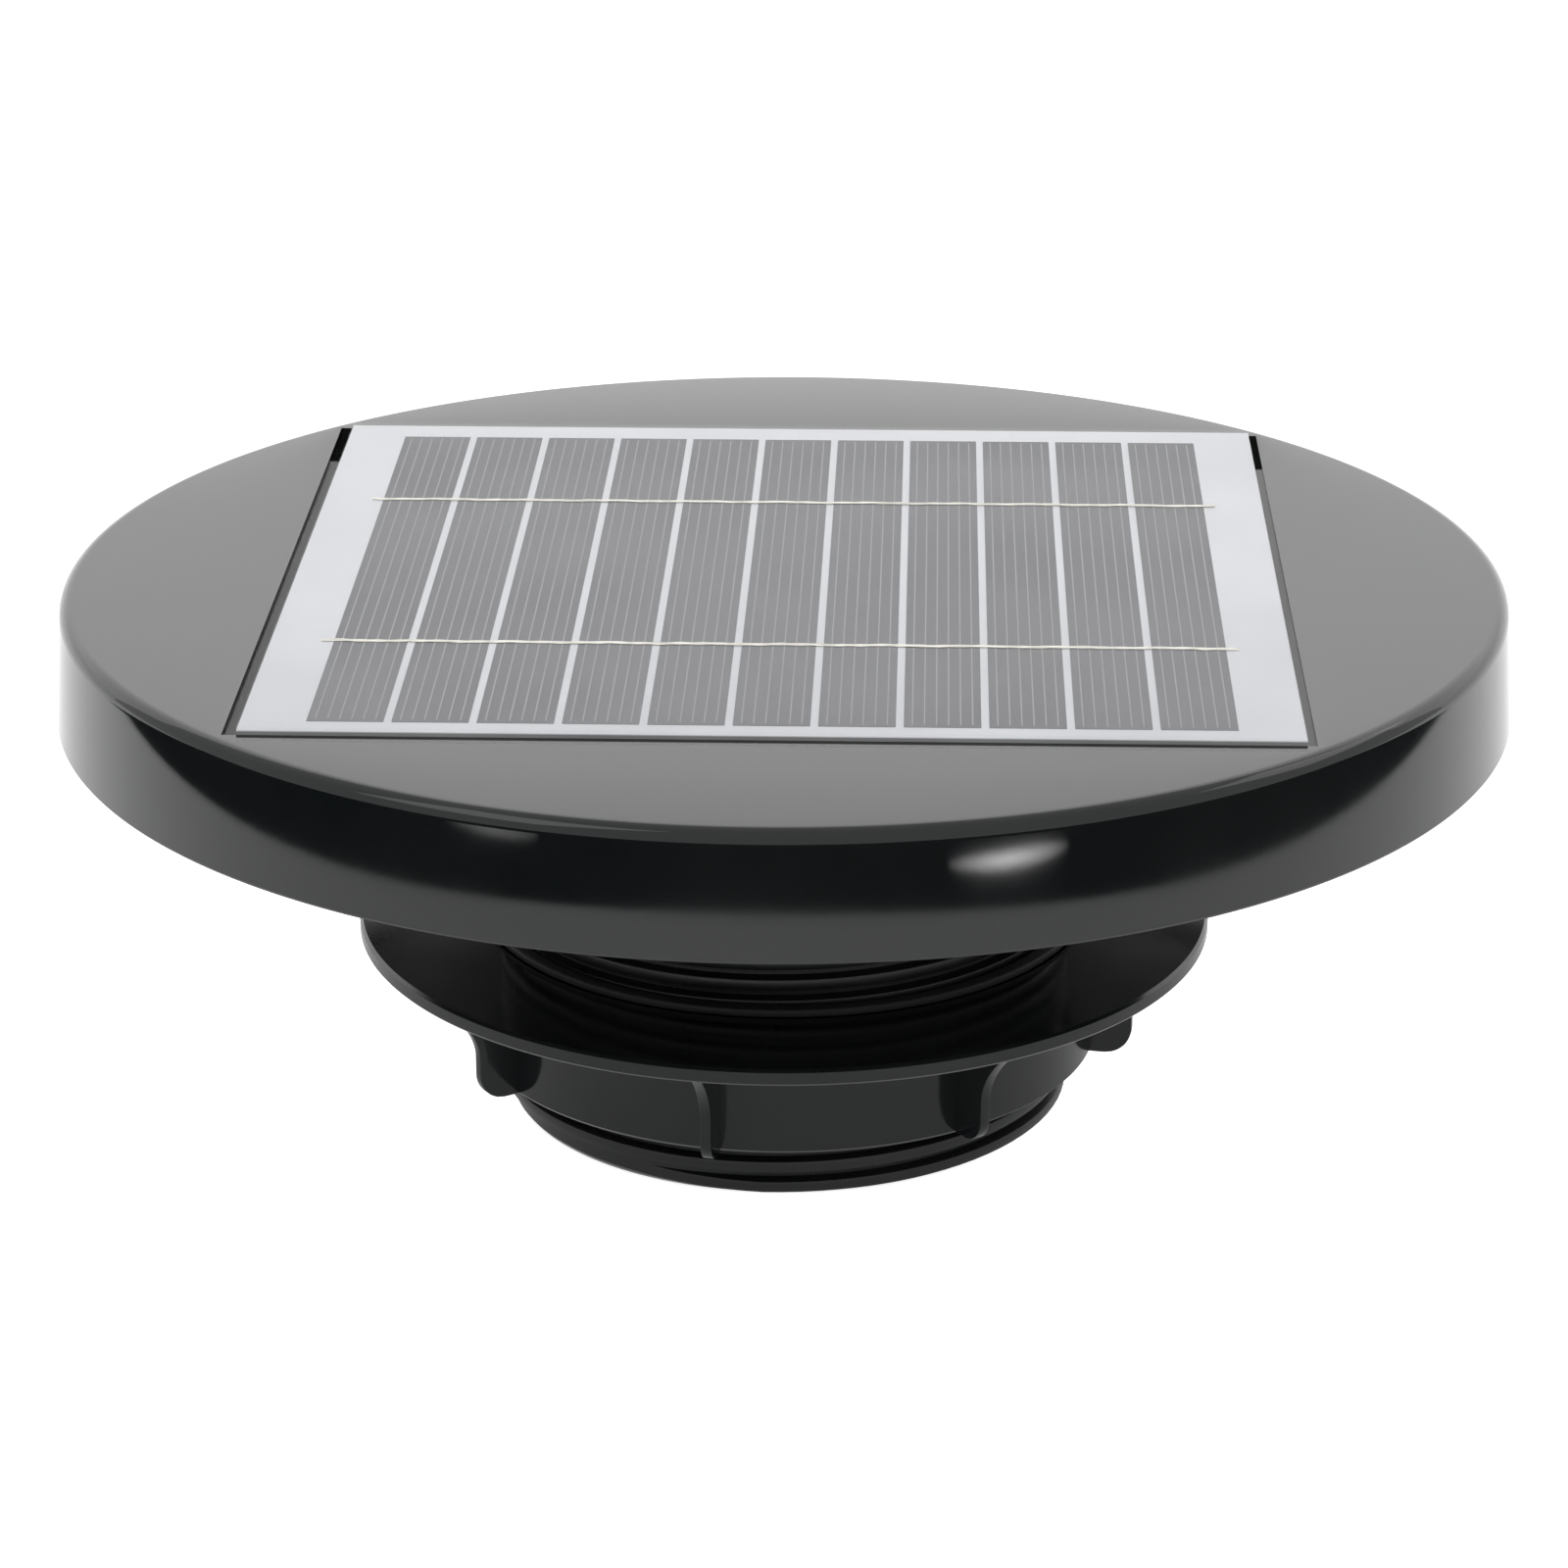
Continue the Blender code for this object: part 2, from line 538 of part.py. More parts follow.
def make_inlet():
    top = GRILLE_SEAT_DEPTH - GAP
    low = top - GRILLE_THICK
    grille = ring("inlet_grille", GRILLE_RADIUS - 0.0024, GRILLE_RADIUS, low, top, DUCT_BLACK, segments=36)
    for number in range(GRILLE_RINGS):
        radius = GRILLE_HUB_RADIUS + (number + 1) * GRILLE_RING_STEP - GRILLE_RING_WIDTH
        if radius < GRILLE_RADIUS - 0.004:
            join(grille, ring(f"guard_ring_{number + 1}", radius, radius + GRILLE_RING_WIDTH, low, top, segments=24))
    middle = (GRILLE_RADIUS - 0.001) / 2
    for number, angle in enumerate(evenly(GRILLE_SPOKES, 30), 1):
        join(grille, box(f"guard_spoke_{number}", (2 * middle - 0.004, 0.0020, GRILLE_THICK - 0.0002),
                         low + 0.0001, (middle + 0.002, 0.0), angle))
    join(grille, cylinder("guard_hub", GRILLE_HUB_RADIUS, low + 0.0002, top - 0.0002, segments=24))


# ---- Motor bracket ------------------------------------------------------------------------------


def make_bracket():
    bracket = ring("motor_bracket", DUCT_BORE, THREAD_ROOT, BRACKET_Z, BRACKET_TOP_Z, DUCT_BLACK, segments=48)
    cup_inner = MOTOR_RADIUS + GAP
    cup_outer = cup_inner + CUP_WALL
    floor_z = MOTOR_FRONT_Z - GAP
    cup = [(cup_outer, BRACKET_TOP_Z + OVERLAP), (cup_outer, floor_z - CUP_FLOOR),
           (NOSE_RADIUS + 0.0008, floor_z - CUP_FLOOR), (NOSE_RADIUS + 0.0008, floor_z),
           (cup_inner, floor_z), (cup_inner, BRACKET_TOP_Z + OVERLAP)]
    join(bracket, turned("motor_cup", cup, segments=36))
    arm_start = cup_inner + CUP_WALL / 2
    arm_length = (DUCT_BORE + THREAD_ROOT) / 2 - arm_start
    for number, angle in enumerate(evenly(ARM_COUNT, 90), 1):
        join(bracket, box(f"bracket_arm_{number}", (arm_length, ARM_WIDTH, BRACKET_THICK - 2 * LAMINATE_GAP),
                          BRACKET_Z + LAMINATE_GAP, (arm_start + arm_length / 2, 0.0), angle))
        place = on_circle(EAR_CIRCLE, angle)
        join(bracket, cylinder(f"bracket_ear_{number}", EAR_RADIUS, BRACKET_Z + LAMINATE_GAP,
                               BRACKET_TOP_Z - LAMINATE_GAP, place))
        cut(bracket, cylinder(f"ear_hole_{number}", BRACKET_SCREW_RADIUS + GAP, BRACKET_Z - OVERLAP,
                              BRACKET_TOP_Z + OVERLAP, place, segments=12))
        screw(f"bracket_screw_{number}", BRACKET_SCREW_RADIUS, BRACKET_SCREW_LENGTH, BRACKET_SCREW_HEAD,
              BRACKET_HEAD_HEIGHT, BRACKET_TOP_Z + GAP, place, STEEL, upwards=False)
    for number, way in enumerate((-1, 1), 1):
        place = (0.0, way * MOTOR_SCREW_CIRCLE)
        cut(bracket, cylinder(f"motor_hole_{number}", MOTOR_SCREW_RADIUS + GAP, floor_z - CUP_FLOOR - OVERLAP,
                              floor_z + OVERLAP, place, segments=12))
        screw(f"motor_screw_{number}", MOTOR_SCREW_RADIUS, MOTOR_SCREW_LENGTH, MOTOR_SCREW_HEAD,
              MOTOR_HEAD_HEIGHT, floor_z - CUP_FLOOR - GAP, place, STEEL, upwards=True)


# ---- Motor --------------------------------------------------------------------------------------


def make_motor_body():
    front = MOTOR_FRONT_Z
    inner = MOTOR_RADIUS - MOTOR_WALL
    seat = BUSH_RADIUS + GAP
    nose_z = front - MOTOR_NOSE
    can = turned("motor_can", [(MOTOR_RADIUS, MOTOR_BACK_Z), (MOTOR_RADIUS, front), (NOSE_RADIUS, front),
                               (NOSE_RADIUS, nose_z), (seat, nose_z), (seat, front + MOTOR_WALL),
                               (inner, front + MOTOR_WALL), (inner, MOTOR_BACK_Z)], STEEL, segments=36)
    for number, way in enumerate((-1, 1), 1):
        cut(can, cylinder(f"can_hole_{number}", MOTOR_SCREW_RADIUS + GAP, front - OVERLAP,
                          front + MOTOR_WALL + OVERLAP, (0.0, way * MOTOR_SCREW_CIRCLE), segments=12))
    bore = SHAFT_RADIUS + SHAFT_PLAY
    ring("front_bush", bore, BUSH_RADIUS, nose_z + LAMINATE_GAP, front + MOTOR_WALL, BRONZE, segments=24)
    for number, middle in enumerate((0.0, 180.0), 1):
        outer = inner - GAP
        half = MAGNET_ANGLE / 2
        outline = arc((0, 0), outer, middle - half, middle + half, 12)
        outline += arc((0, 0), outer - MAGNET_THICK, middle + half, middle - half, 12)
        magnet = outline_plate(f"motor_magnet_{number}", outline, MAGNET_HEIGHT, MAGNET_GREY)
        magnet.location = (0.0, 0.0, CORE_Z + CORE_HEIGHT / 2)
    plug = inner - GAP
    rear_seat = BUSH_RADIUS + GAP
    end_top = END_CAP_Z + END_CAP_THICK
    end = turned("motor_end_cap", [(NOSE_RADIUS, end_top + 0.0012), (NOSE_RADIUS, end_top), (MOTOR_RADIUS, end_top),
                                   (MOTOR_RADIUS, END_CAP_Z), (plug, END_CAP_Z), (plug, END_CAP_Z - 0.0010),
                                   (rear_seat, END_CAP_Z - 0.0010), (rear_seat, end_top + 0.0012)],
                 MOTOR_PLASTIC, segments=36)
    ring("rear_bush", bore, BUSH_RADIUS, END_CAP_Z - 0.0010, END_CAP_Z + 0.0024, BRONZE, segments=24)
    brush_length = 0.0040
    for number, way in enumerate((-1, 1), 1):
        box(f"motor_brush_{number}", (brush_length, 0.0020, 0.0018), COMMUTATOR_Z + 0.0006,
            (way * (COMMUTATOR_RADIUS + GAP + brush_length / 2), 0.0), finish=COPPER)
        slot = (way * TERMINAL_CIRCLE, 0.0)
        cut(end, box(f"terminal_slot_{number}", (0.0012, 0.0030, 0.0080), END_CAP_Z - 0.0020, slot))
        box(f"motor_terminal_{number}", (0.0006, 0.0024, 0.0062), END_CAP_Z - 0.0008, slot, finish=BRONZE)


def make_rotor():
    bore = SHAFT_RADIUS + LAMINATE_GAP
    shaft_top = END_CAP_Z + 0.0030
    cylinder("motor_shaft", SHAFT_RADIUS, SHAFT_BOTTOM_Z, shaft_top, finish=STEEL, segments=24)
    core_radius = MOTOR_RADIUS - MOTOR_WALL - GAP - MAGNET_THICK - AIR_GAP
    core = ring("armature_core", bore, core_radius, CORE_Z, CORE_Z + CORE_HEIGHT, STEEL, segments=36)
    lip = 0.0012  # thickness of a pole's shoe
    slot_outer = core_radius - lip
    slot_inner = 0.0028
    half_slot = 34.0
    half_mouth = 6.0
    for number, angle in enumerate(evenly(POLE_COUNT, 60), 1):
        outline = arc((0, 0), slot_outer, -half_slot, half_slot, 6)
        outline += arc((0, 0), slot_inner, half_slot, -half_slot, 4)
        slot = outline_plate(f"core_slot_{number}", outline, CORE_HEIGHT * 1.2)
        slot.location = (0.0, 0.0, CORE_Z + CORE_HEIGHT / 2)
        slot.rotation_euler = (0.0, 0.0, angle)
        cut(core, slot)
        mouth_width = 2 * core_radius * math.sin(math.radians(half_mouth))
        cut(core, box(f"core_mouth_{number}", (lip * 3, mouth_width, CORE_HEIGHT * 1.2),
                      CORE_Z - CORE_HEIGHT * 0.1, (core_radius - lip / 2, 0.0), angle))
        trim = 3.0
        outline = arc((0, 0), slot_outer - GAP, trim - half_slot, half_slot - trim, 6)
        outline += arc((0, 0), slot_inner + GAP * 2, half_slot - 2 * trim, 2 * trim - half_slot, 4)
        coil = outline_plate(f"armature_coil_{number}", outline, CORE_HEIGHT + 0.0024, COPPER)
        coil.location = slot.location
        coil.rotation_euler = slot.rotation_euler
    ring("commutator", bore, COMMUTATOR_RADIUS, COMMUTATOR_Z, COMMUTATOR_Z + COMMUTATOR_HEIGHT, COPPER,
         segments=24)


def blade_mesh(name, root_radius, tip_radius):
    """A twisted blade as an open surface, from the hub outwards along +X, thickened by Solidify."""
    across, along = 4, 5
    shape = bmesh.new()
    rows = []
    for i in range(along + 1):
        share = i / along
        radius = root_radius + (tip_radius - root_radius) * share
        tilt = math.radians(BLADE_ROOT_ANGLE + (BLADE_TIP_ANGLE - BLADE_ROOT_ANGLE) * share)
        chord = BLADE_CHORD * (0.75 + 0.35 * share)
        row = []
        for j in range(across + 1):
            s = j / across - 0.5
            camber = 0.0016 * (1 - 4 * s * s)
            tangent = s * chord * math.cos(tilt) - camber * math.sin(tilt)
            height = s * chord * math.sin(tilt) + camber * math.cos(tilt)
            sweep = math.atan2(tangent, radius)
            row.append(shape.verts.new((radius * math.cos(sweep), radius * math.sin(sweep),
                                        (HUB_BOTTOM_Z + HUB_TOP_Z) / 2 + height)))
        rows.append(row)
    for low, high in zip(rows, rows[1:]):
        for j in range(across):
            shape.faces.new((low[j], low[j + 1], high[j + 1], high[j]))
    obj = object_from(name, shape)
    solid = obj.modifiers.new("Thickness", "SOLIDIFY")
    solid.thickness = BLADE_THICK
    solid.offset = 0.0
    return obj


def make_impeller():
    socket_bore = SHAFT_RADIUS + LAMINATE_GAP
    profile = [(HUB_RADIUS, HUB_TOP_Z), (HUB_RADIUS, HUB_BOTTOM_Z + 0.0020), (HUB_RADIUS - 0.0020, HUB_BOTTOM_Z),
               (0.0, HUB_BOTTOM_Z), (0.0, SHAFT_BOTTOM_Z - GAP), (socket_bore, SHAFT_BOTTOM_Z - GAP),
               (socket_bore, HUB_TOP_Z), (HUB_SOCKET_RADIUS, HUB_TOP_Z), (HUB_SOCKET_RADIUS, HUB_BOTTOM_Z + 0.0040),
               (HUB_RADIUS - HUB_WALL, HUB_BOTTOM_Z + 0.0040), (HUB_RADIUS - HUB_WALL, HUB_TOP_Z)]
    # The loop is open at the axis, where the hub's nose is solid.
    solid = turned("impeller", profile[4:] + profile[:4], IMPELLER_BLACK, segments=36, closed=False)
    for number, angle in enumerate(evenly(BLADE_COUNT), 1):
        blade = blade_mesh(f"blade_{number}", HUB_RADIUS - HUB_WALL / 2, IMPELLER_RADIUS)
        blade.rotation_euler = (0.0, 0.0, angle)
        join(solid, blade)


# ---- Leads and grommet --------------------------------------------------------------------------


def make_leads():
    low = TRAY_UNDERSIDE_Z - GAP
    sleeve = GROMMET_HOLE - GAP
    profile = [(sleeve, TRAY_FLOOR_TOP_Z + GAP), (sleeve, low), (GROMMET_FLANGE, low), (GROMMET_FLANGE, low - 0.0012),
               (GROMMET_BORE, low - 0.0012), (GROMMET_BORE, TRAY_FLOOR_TOP_Z + GAP)]
    grommet = turned("wire_grommet", profile, RUBBER, segments=24)
    grommet.location = (GROMMET_X, 0.0, 0.0)
    terminal_top = END_CAP_Z + 0.0054
    straight = min(LEAD_STRAIGHT, (low - terminal_top) / 4)
    for name, way, finish in (("lead_positive", 1, RED_LEAD), ("lead_negative", -1, BLACK_LEAD)):
        side = way * LEAD_SPACING / 2
        start = Vector((way * TERMINAL_CIRCLE, 0.0, terminal_top + LEAD_RADIUS + GAP))
        bend_y = -0.0060 if way < 0 else 0.0  # the negative lead goes round the rear bush
        route = [start, start + Vector((0.0010 * way, bend_y * 0.6, 0.0006)),
                 Vector((way * TERMINAL_CIRCLE * 0.5 + 0.0065, bend_y * 1.1 + 0.0015 * way, terminal_top + 0.0014)),
                 Vector((GROMMET_X - 0.0075, side + bend_y * 0.35, terminal_top - 0.0006)),
                 Vector((GROMMET_X - 0.0018, side, terminal_top + 0.0004)),
                 Vector((GROMMET_X, side, low - 0.0003 - straight)),
                 Vector((GROMMET_X, side, low - 0.0003)),
                 Vector((GROMMET_X, side, TRAY_FLOOR_TOP_Z)),
                 Vector((GROMMET_X, side, BACKSHEET_Z - LAMINATE_GAP * 2))]
        curve = bpy.data.curves.new(name, "CURVE")
        curve.dimensions = "3D"
        curve.bevel_depth = LEAD_RADIUS
        curve.bevel_resolution = 1
        curve.use_fill_caps = True
        spline = curve.splines.new("POLY")
        points = smooth_route(route, 3)
        spline.points.add(len(points) - 1)
        for point, place in zip(spline.points, points):
            point.co = (*place, 1.0)
        link(bpy.data.objects.new(name, curve), finish)


def smooth_route(points, steps):
    """Points on a Catmull-Rom curve through the route's own points."""
    padded = [points[0] * 2 - points[1], *points, points[-1] * 2 - points[-2]]
    smooth = []
    for a, b, c, d in zip(padded, padded[1:], padded[2:], padded[3:]):
        for k in range(steps):
            t = k / steps
            smooth.append(0.5 * (2 * b + (c - a) * t + (2 * a - 5 * b + 4 * c - d) * t * t
                                 + (3 * b - 3 * c + d - a) * t * t * t))
    return [*smooth, points[-1]]


# ---- Clamp nut ----------------------------------------------------------------------------------


def make_nut():
    half_root = THREAD_PITCH * 0.23
    half_crest = THREAD_PITCH * 0.08
    bore = NUT_BORE
    crest = THREAD_ROOT + THREAD_PLAY
    # A valley of the duct's thread lies half a pitch above its ridge, so the nut's ridge starts there.
    duct_start = THREAD_START + THREAD_PITCH * 0.40
    turns_up = math.ceil((NUT_COLLAR_BOTTOM_Z - duct_start) / THREAD_PITCH)
    start = duct_start + (turns_up + 0.5) * THREAD_PITCH
    turns = int((NUT_PLATE_TOP_Z - start) / THREAD_PITCH - 0.5)
    seat_z = NUT_PLATE_TOP_Z - SEAL_SEAT_DEPTH
    before = [(bore, NUT_COLLAR_BOTTOM_Z)]
    after = [(bore, seat_z), (SEAL_SEAT_RADIUS, seat_z), (SEAL_SEAT_RADIUS, NUT_PLATE_TOP_Z),
             (NUT_PLATE_RADIUS - 0.0004, NUT_PLATE_TOP_Z),
             (NUT_PLATE_RADIUS, NUT_PLATE_TOP_Z - 0.0004), (NUT_PLATE_RADIUS, NUT_PLATE_Z),
             (NUT_COLLAR_RADIUS, NUT_PLATE_Z), (NUT_COLLAR_RADIUS, NUT_COLLAR_BOTTOM_Z)]
    nut = threaded("clamp_nut", before, after, bore, crest, start, turns, half_root, half_crest, NUT_BLACK)
    low = NUT_COLLAR_BOTTOM_Z
    root = (bore + NUT_COLLAR_RADIUS) / 2
    toe = FIN_TOP_REACH - FIN_REACH
    outline = [(root, low + GAP)]
    outline += arc((FIN_REACH - FIN_HEEL, low + FIN_HEEL + LAMINATE_GAP), FIN_HEEL, -90, 0, 6)
    flare_z = NUT_PLATE_Z - FIN_FLARE
    outline += [(FIN_REACH + toe * share ** 1.8, flare_z + FIN_FLARE * share) for share in (0, 0.3, 0.5, 0.7, 0.85, 1)]
    outline += [(FIN_TOP_REACH, NUT_PLATE_Z + OVERLAP), (root, NUT_PLATE_Z + OVERLAP)]
    for number, angle in enumerate(evenly(FIN_COUNT, FIN_FIRST_ANGLE), 1):
        fin = outline_plate(f"nut_fin_{number}", outline, FIN_THICK)
        fin.matrix_world = Matrix.Rotation(angle, 4, "Z") @ Matrix.Rotation(math.pi / 2, 4, "X")
        join(nut, fin)
    seal_z = seat_z + GAP
    ring("thread_seal_ring", bore, SEAL_OUTER, seal_z, seal_z + SEAL_HEIGHT, RUBBER,
         segments=36)


make_cap()
make_panel()
make_duct()
make_cap_screws()
make_inlet()
make_bracket()
make_motor_body()
make_rotor()
make_impeller()
make_leads()
make_nut()
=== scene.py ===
# %% [markdown]
# # A solar attic fan
# The fan stands on the lower end of its threaded duct. A wide black cap covers the duct's outlet and
# carries a square solar panel. A big plastic nut with eight fins runs on the duct's thread and clamps the
# roof from inside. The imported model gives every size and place, and the pieces here are finer versions
# of its solids, with real finishes.

# %% Load the frame
import json
import math

import bpy
from mathutils import Matrix, Vector


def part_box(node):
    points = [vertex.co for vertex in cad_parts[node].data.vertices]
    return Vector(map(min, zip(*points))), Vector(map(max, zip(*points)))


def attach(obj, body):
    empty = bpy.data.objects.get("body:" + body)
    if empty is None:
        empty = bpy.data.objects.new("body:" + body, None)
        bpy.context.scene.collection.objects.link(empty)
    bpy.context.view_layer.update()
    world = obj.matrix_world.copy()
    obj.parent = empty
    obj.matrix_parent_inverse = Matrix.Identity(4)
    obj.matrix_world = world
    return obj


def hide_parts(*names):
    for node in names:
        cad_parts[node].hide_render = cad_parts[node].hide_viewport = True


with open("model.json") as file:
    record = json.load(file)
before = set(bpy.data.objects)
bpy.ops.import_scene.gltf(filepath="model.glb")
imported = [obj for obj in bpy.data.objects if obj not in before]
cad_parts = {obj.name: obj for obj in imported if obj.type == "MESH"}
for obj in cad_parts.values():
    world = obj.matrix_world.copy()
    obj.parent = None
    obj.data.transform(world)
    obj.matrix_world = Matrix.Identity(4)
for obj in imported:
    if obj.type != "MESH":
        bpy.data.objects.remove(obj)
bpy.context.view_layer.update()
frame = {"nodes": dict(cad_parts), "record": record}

# %% [markdown]
# ## Sizes
# Most sizes are read from the solids' boxes, so a piece follows the model. A box can't tell a wall, a fin
# or a thread, so those few sizes are named here, in metres.

# %% Read the sizes
cap_low, cap_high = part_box("cap_shell")
CAP_RADIUS = cap_high.x
CAP_TOP = cap_high.z
CAP_DRAFT = 0.00125
CAP_WALL = 0.0020
CAP_EDGE = 0.0025
TRAY_FLOOR = 0.0018
TRAY_WALL = 0.0015
TRAY_GAP = (0.0019, 0.0003)
FACE_GAP = 0.0003
SCREW_CIRCLE = 0.0660
SCREW_HOLE = 0.0020
SCREW_SINK = 0.0037
BOSS_RADIUS = 0.0045
BOSS_HEIGHT = 0.0068
PILLAR_RADIUS = 0.0050
WIRE_HOLE = 0.0042
PITCH = 0.0037
THREAD_START = -0.0023
RIDGE_ROOT = PITCH * 0.40
RIDGE_CREST = PITCH * 0.25
THREAD_ROOT = 0.0482
THREAD_CREST = 0.0500
THREAD_TURNS = 15
THREAD_LEAD = 0.66
duct_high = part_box("base_duct")[1]
nut_low, nut_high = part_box("clamp_nut")
NUT_COLLAR = 0.0550
NUT_BORE = THREAD_CREST + 0.0005
NUT_PLATE = 0.0029
NUT_RADIUS = 0.0745
SEAL_SEAT_RADIUS = 0.0533
SEAL_SEAT_DEPTH = 0.0003
FIN_FIRST = -100.4
FIN_COUNT = 8
FIN_THICK = 0.0018
print("cap", round(CAP_RADIUS * 2000), "mm across, top at", round(CAP_TOP * 1000, 1), "mm")

# %% [markdown]
# ## Working by hand in code
# Operators act on what is selected, so each piece starts with nothing selected. These helpers do what the
# hands would do: clear the selection, switch to edit mode, and apply a modifier.


# %% Helpers for selecting and applying
def start_clean():
    if bpy.context.object and bpy.context.object.mode != "OBJECT":
        bpy.ops.object.mode_set(mode="OBJECT")
    bpy.ops.object.select_all(action="DESELECT")


def activate(piece):
    start_clean()
    piece.select_set(True)
    bpy.context.view_layer.objects.active = piece


def apply_modifier(piece, name, kind, **settings):
    activate(piece)
    change = piece.modifiers.new(name, kind)
    for key, value in settings.items():
        setattr(change, key, value)
    bpy.ops.object.modifier_apply(modifier=change.name)


def round_edges(piece, width, segments=3, angle=30):
    apply_modifier(piece, "Round", "BEVEL", width=width, segments=segments, limit_method="ANGLE",
                   angle_limit=math.radians(angle), harden_normals=False)


def unite(piece, other, operation="UNION"):
    apply_modifier(piece, "Shape", "BOOLEAN", operation=operation, object=other, solver="EXACT")
    bpy.data.objects.remove(other)


def tidy_mesh(piece, merge=0.000005):
    activate(piece)
    bpy.ops.object.mode_set(mode="EDIT")
    bpy.ops.mesh.select_all(action="SELECT")
    bpy.ops.mesh.remove_doubles(threshold=merge)
    bpy.ops.mesh.dissolve_degenerate(threshold=0.000001)
    bpy.ops.mesh.normals_make_consistent(inside=False)
    bpy.ops.object.mode_set(mode="OBJECT")


def smooth(piece, angle=35):
    activate(piece)
    bpy.ops.object.shade_smooth_by_angle(angle=math.radians(angle))


# %% [markdown]
# ## Turned pieces
# The cap, duct, nut and rings are round. A turned piece could start as a cylinder and be inset and
# extruded again and again. Here its cross-section is one loop of vertices that the spin tool takes round
# the axis once, as a lathe does, which keeps every ring of faces even.


# %% Turn a profile, and add a plain block
def outline_loop(name, points):
    """A loop of vertices in the XZ plane at (x, z) points."""
    start_clean()
    bpy.ops.mesh.primitive_circle_add(vertices=len(points), radius=0.01, fill_type="NOTHING")
    piece = bpy.context.object
    piece.name = name
    for vertex, (x, z) in zip(piece.data.vertices, points):
        vertex.co = (x, 0.0, z)
    return piece


def turned(name, profile, sides=160):
    piece = outline_loop(name, profile)
    bpy.ops.object.mode_set(mode="EDIT")
    bpy.ops.mesh.select_all(action="SELECT")
    bpy.ops.mesh.spin(steps=sides, angle=2 * math.pi, center=(0, 0, 0), axis=(0, 0, 1))
    bpy.ops.object.mode_set(mode="OBJECT")
    tidy_mesh(piece)
    return piece


def block(name, low, high):
    start_clean()
    middle = [(a + b) / 2 for a, b in zip(low, high)]
    bpy.ops.mesh.primitive_cube_add(size=1.0, location=middle, scale=[b - a for a, b in zip(low, high)])
    bpy.context.object.name = name
    bpy.ops.object.transform_apply(location=True, rotation=True, scale=True)
    return bpy.context.object


def post(name, radius, low, high, at, sides=40):
    start_clean()
    bpy.ops.mesh.primitive_cylinder_add(vertices=sides, radius=radius, depth=high - low,
                                        location=(at[0], at[1], (low + high) / 2))
    bpy.context.object.name = name
    bpy.ops.object.transform_apply(location=True, rotation=True, scale=True)
    return bpy.context.object


def copy_turned(piece, name, angle):
    twin = piece.copy()
    twin.data = piece.data.copy()
    twin.name = name
    twin.data.transform(Matrix.Rotation(angle, 4, "Z"))
    bpy.context.scene.collection.objects.link(twin)
    return twin


def on_circle(radius, angle):
    return (radius * math.cos(angle), radius * math.sin(angle))


def finished(piece, body, slot, finish, *nodes):
    """Gives a piece its finish, hangs it on the body it rides on, and hides the solids it stands for."""
    piece.data.materials.clear()
    piece.data.materials.append(finish)
    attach(piece, body)
    if nodes:
        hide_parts(*nodes)
    print(piece.name, len(piece.data.polygons), "faces")
    return piece


# %% [markdown]
# ## Moulded black plastic
# Glossy plastic is never quite flat or clean: the mould leaves a very slight waviness that wobbles the
# reflections, and handling leaves duller patches and hairline scuffs. Noise on Object coordinates sets
# all three, at sizes from a few centimetres down to a fraction of a millimetre.


# %% Finish for moulded plastic
def new_finish(name, colour, roughness, metallic=0.0, specular=0.5):
    made = bpy.data.materials.new(name)
    made.use_nodes = True
    shader = made.node_tree.nodes["Principled BSDF"]
    shader.inputs["Base Color"].default_value = (*colour, 1.0)
    shader.inputs["Roughness"].default_value = roughness
    shader.inputs["Metallic"].default_value = metallic
    shader.inputs["Specular IOR Level"].default_value = specular
    return made, shader


def noise_on(tree, scale, detail=3.0, stretch=(1, 1, 1)):
    place = tree.nodes.new("ShaderNodeTexCoord")
    mapping = tree.nodes.new("ShaderNodeMapping")
    mapping.inputs["Scale"].default_value = stretch
    noise = tree.nodes.new("ShaderNodeTexNoise")
    noise.inputs["Scale"].default_value = scale
    noise.inputs["Detail"].default_value = detail
    tree.links.new(place.outputs["Object"], mapping.inputs["Vector"])
    tree.links.new(mapping.outputs["Vector"], noise.inputs["Vector"])
    return noise


def ranged(tree, value, low, high, start=0.3, end=0.7):
    change = tree.nodes.new("ShaderNodeMapRange")
    change.inputs["From Min"].default_value = start
    change.inputs["From Max"].default_value = end
    change.inputs["To Min"].default_value = low
    change.inputs["To Max"].default_value = high
    tree.links.new(value, change.inputs["Value"])
    return change.outputs["Result"]


def two_tone(tree, value, first, second, start=0.35, end=0.65):
    ramp = tree.nodes.new("ShaderNodeValToRGB")
    ramp.color_ramp.elements[0].position = start
    ramp.color_ramp.elements[0].color = (*first, 1.0)
    ramp.color_ramp.elements[1].position = end
    ramp.color_ramp.elements[1].color = (*second, 1.0)
    tree.links.new(value, ramp.inputs["Fac"])
    return ramp.outputs["Color"]


def bumped(tree, value, shader, strength, depth):
    bump = tree.nodes.new("ShaderNodeBump")
    bump.inputs["Strength"].default_value = strength
    bump.inputs["Distance"].default_value = depth
    tree.links.new(value, bump.inputs["Height"])
    tree.links.new(bump.outputs["Normal"], shader.inputs["Normal"])


def moulded(name, dark, light, smoothest, roughest, grain=900.0, wave=0.10, stretch=(1, 1, 1)):
    made, shader = new_finish(name, dark, smoothest)
    tree = made.node_tree
    patches = noise_on(tree, 28.0, 4.0, stretch)
    tree.links.new(two_tone(tree, patches.outputs["Fac"], dark, light), shader.inputs["Base Color"])
    tree.links.new(ranged(tree, patches.outputs["Fac"], smoothest, roughest), shader.inputs["Roughness"])
    bumped(tree, noise_on(tree, grain, 2.0).outputs["Fac"], shader, wave, 0.00004)
    return made


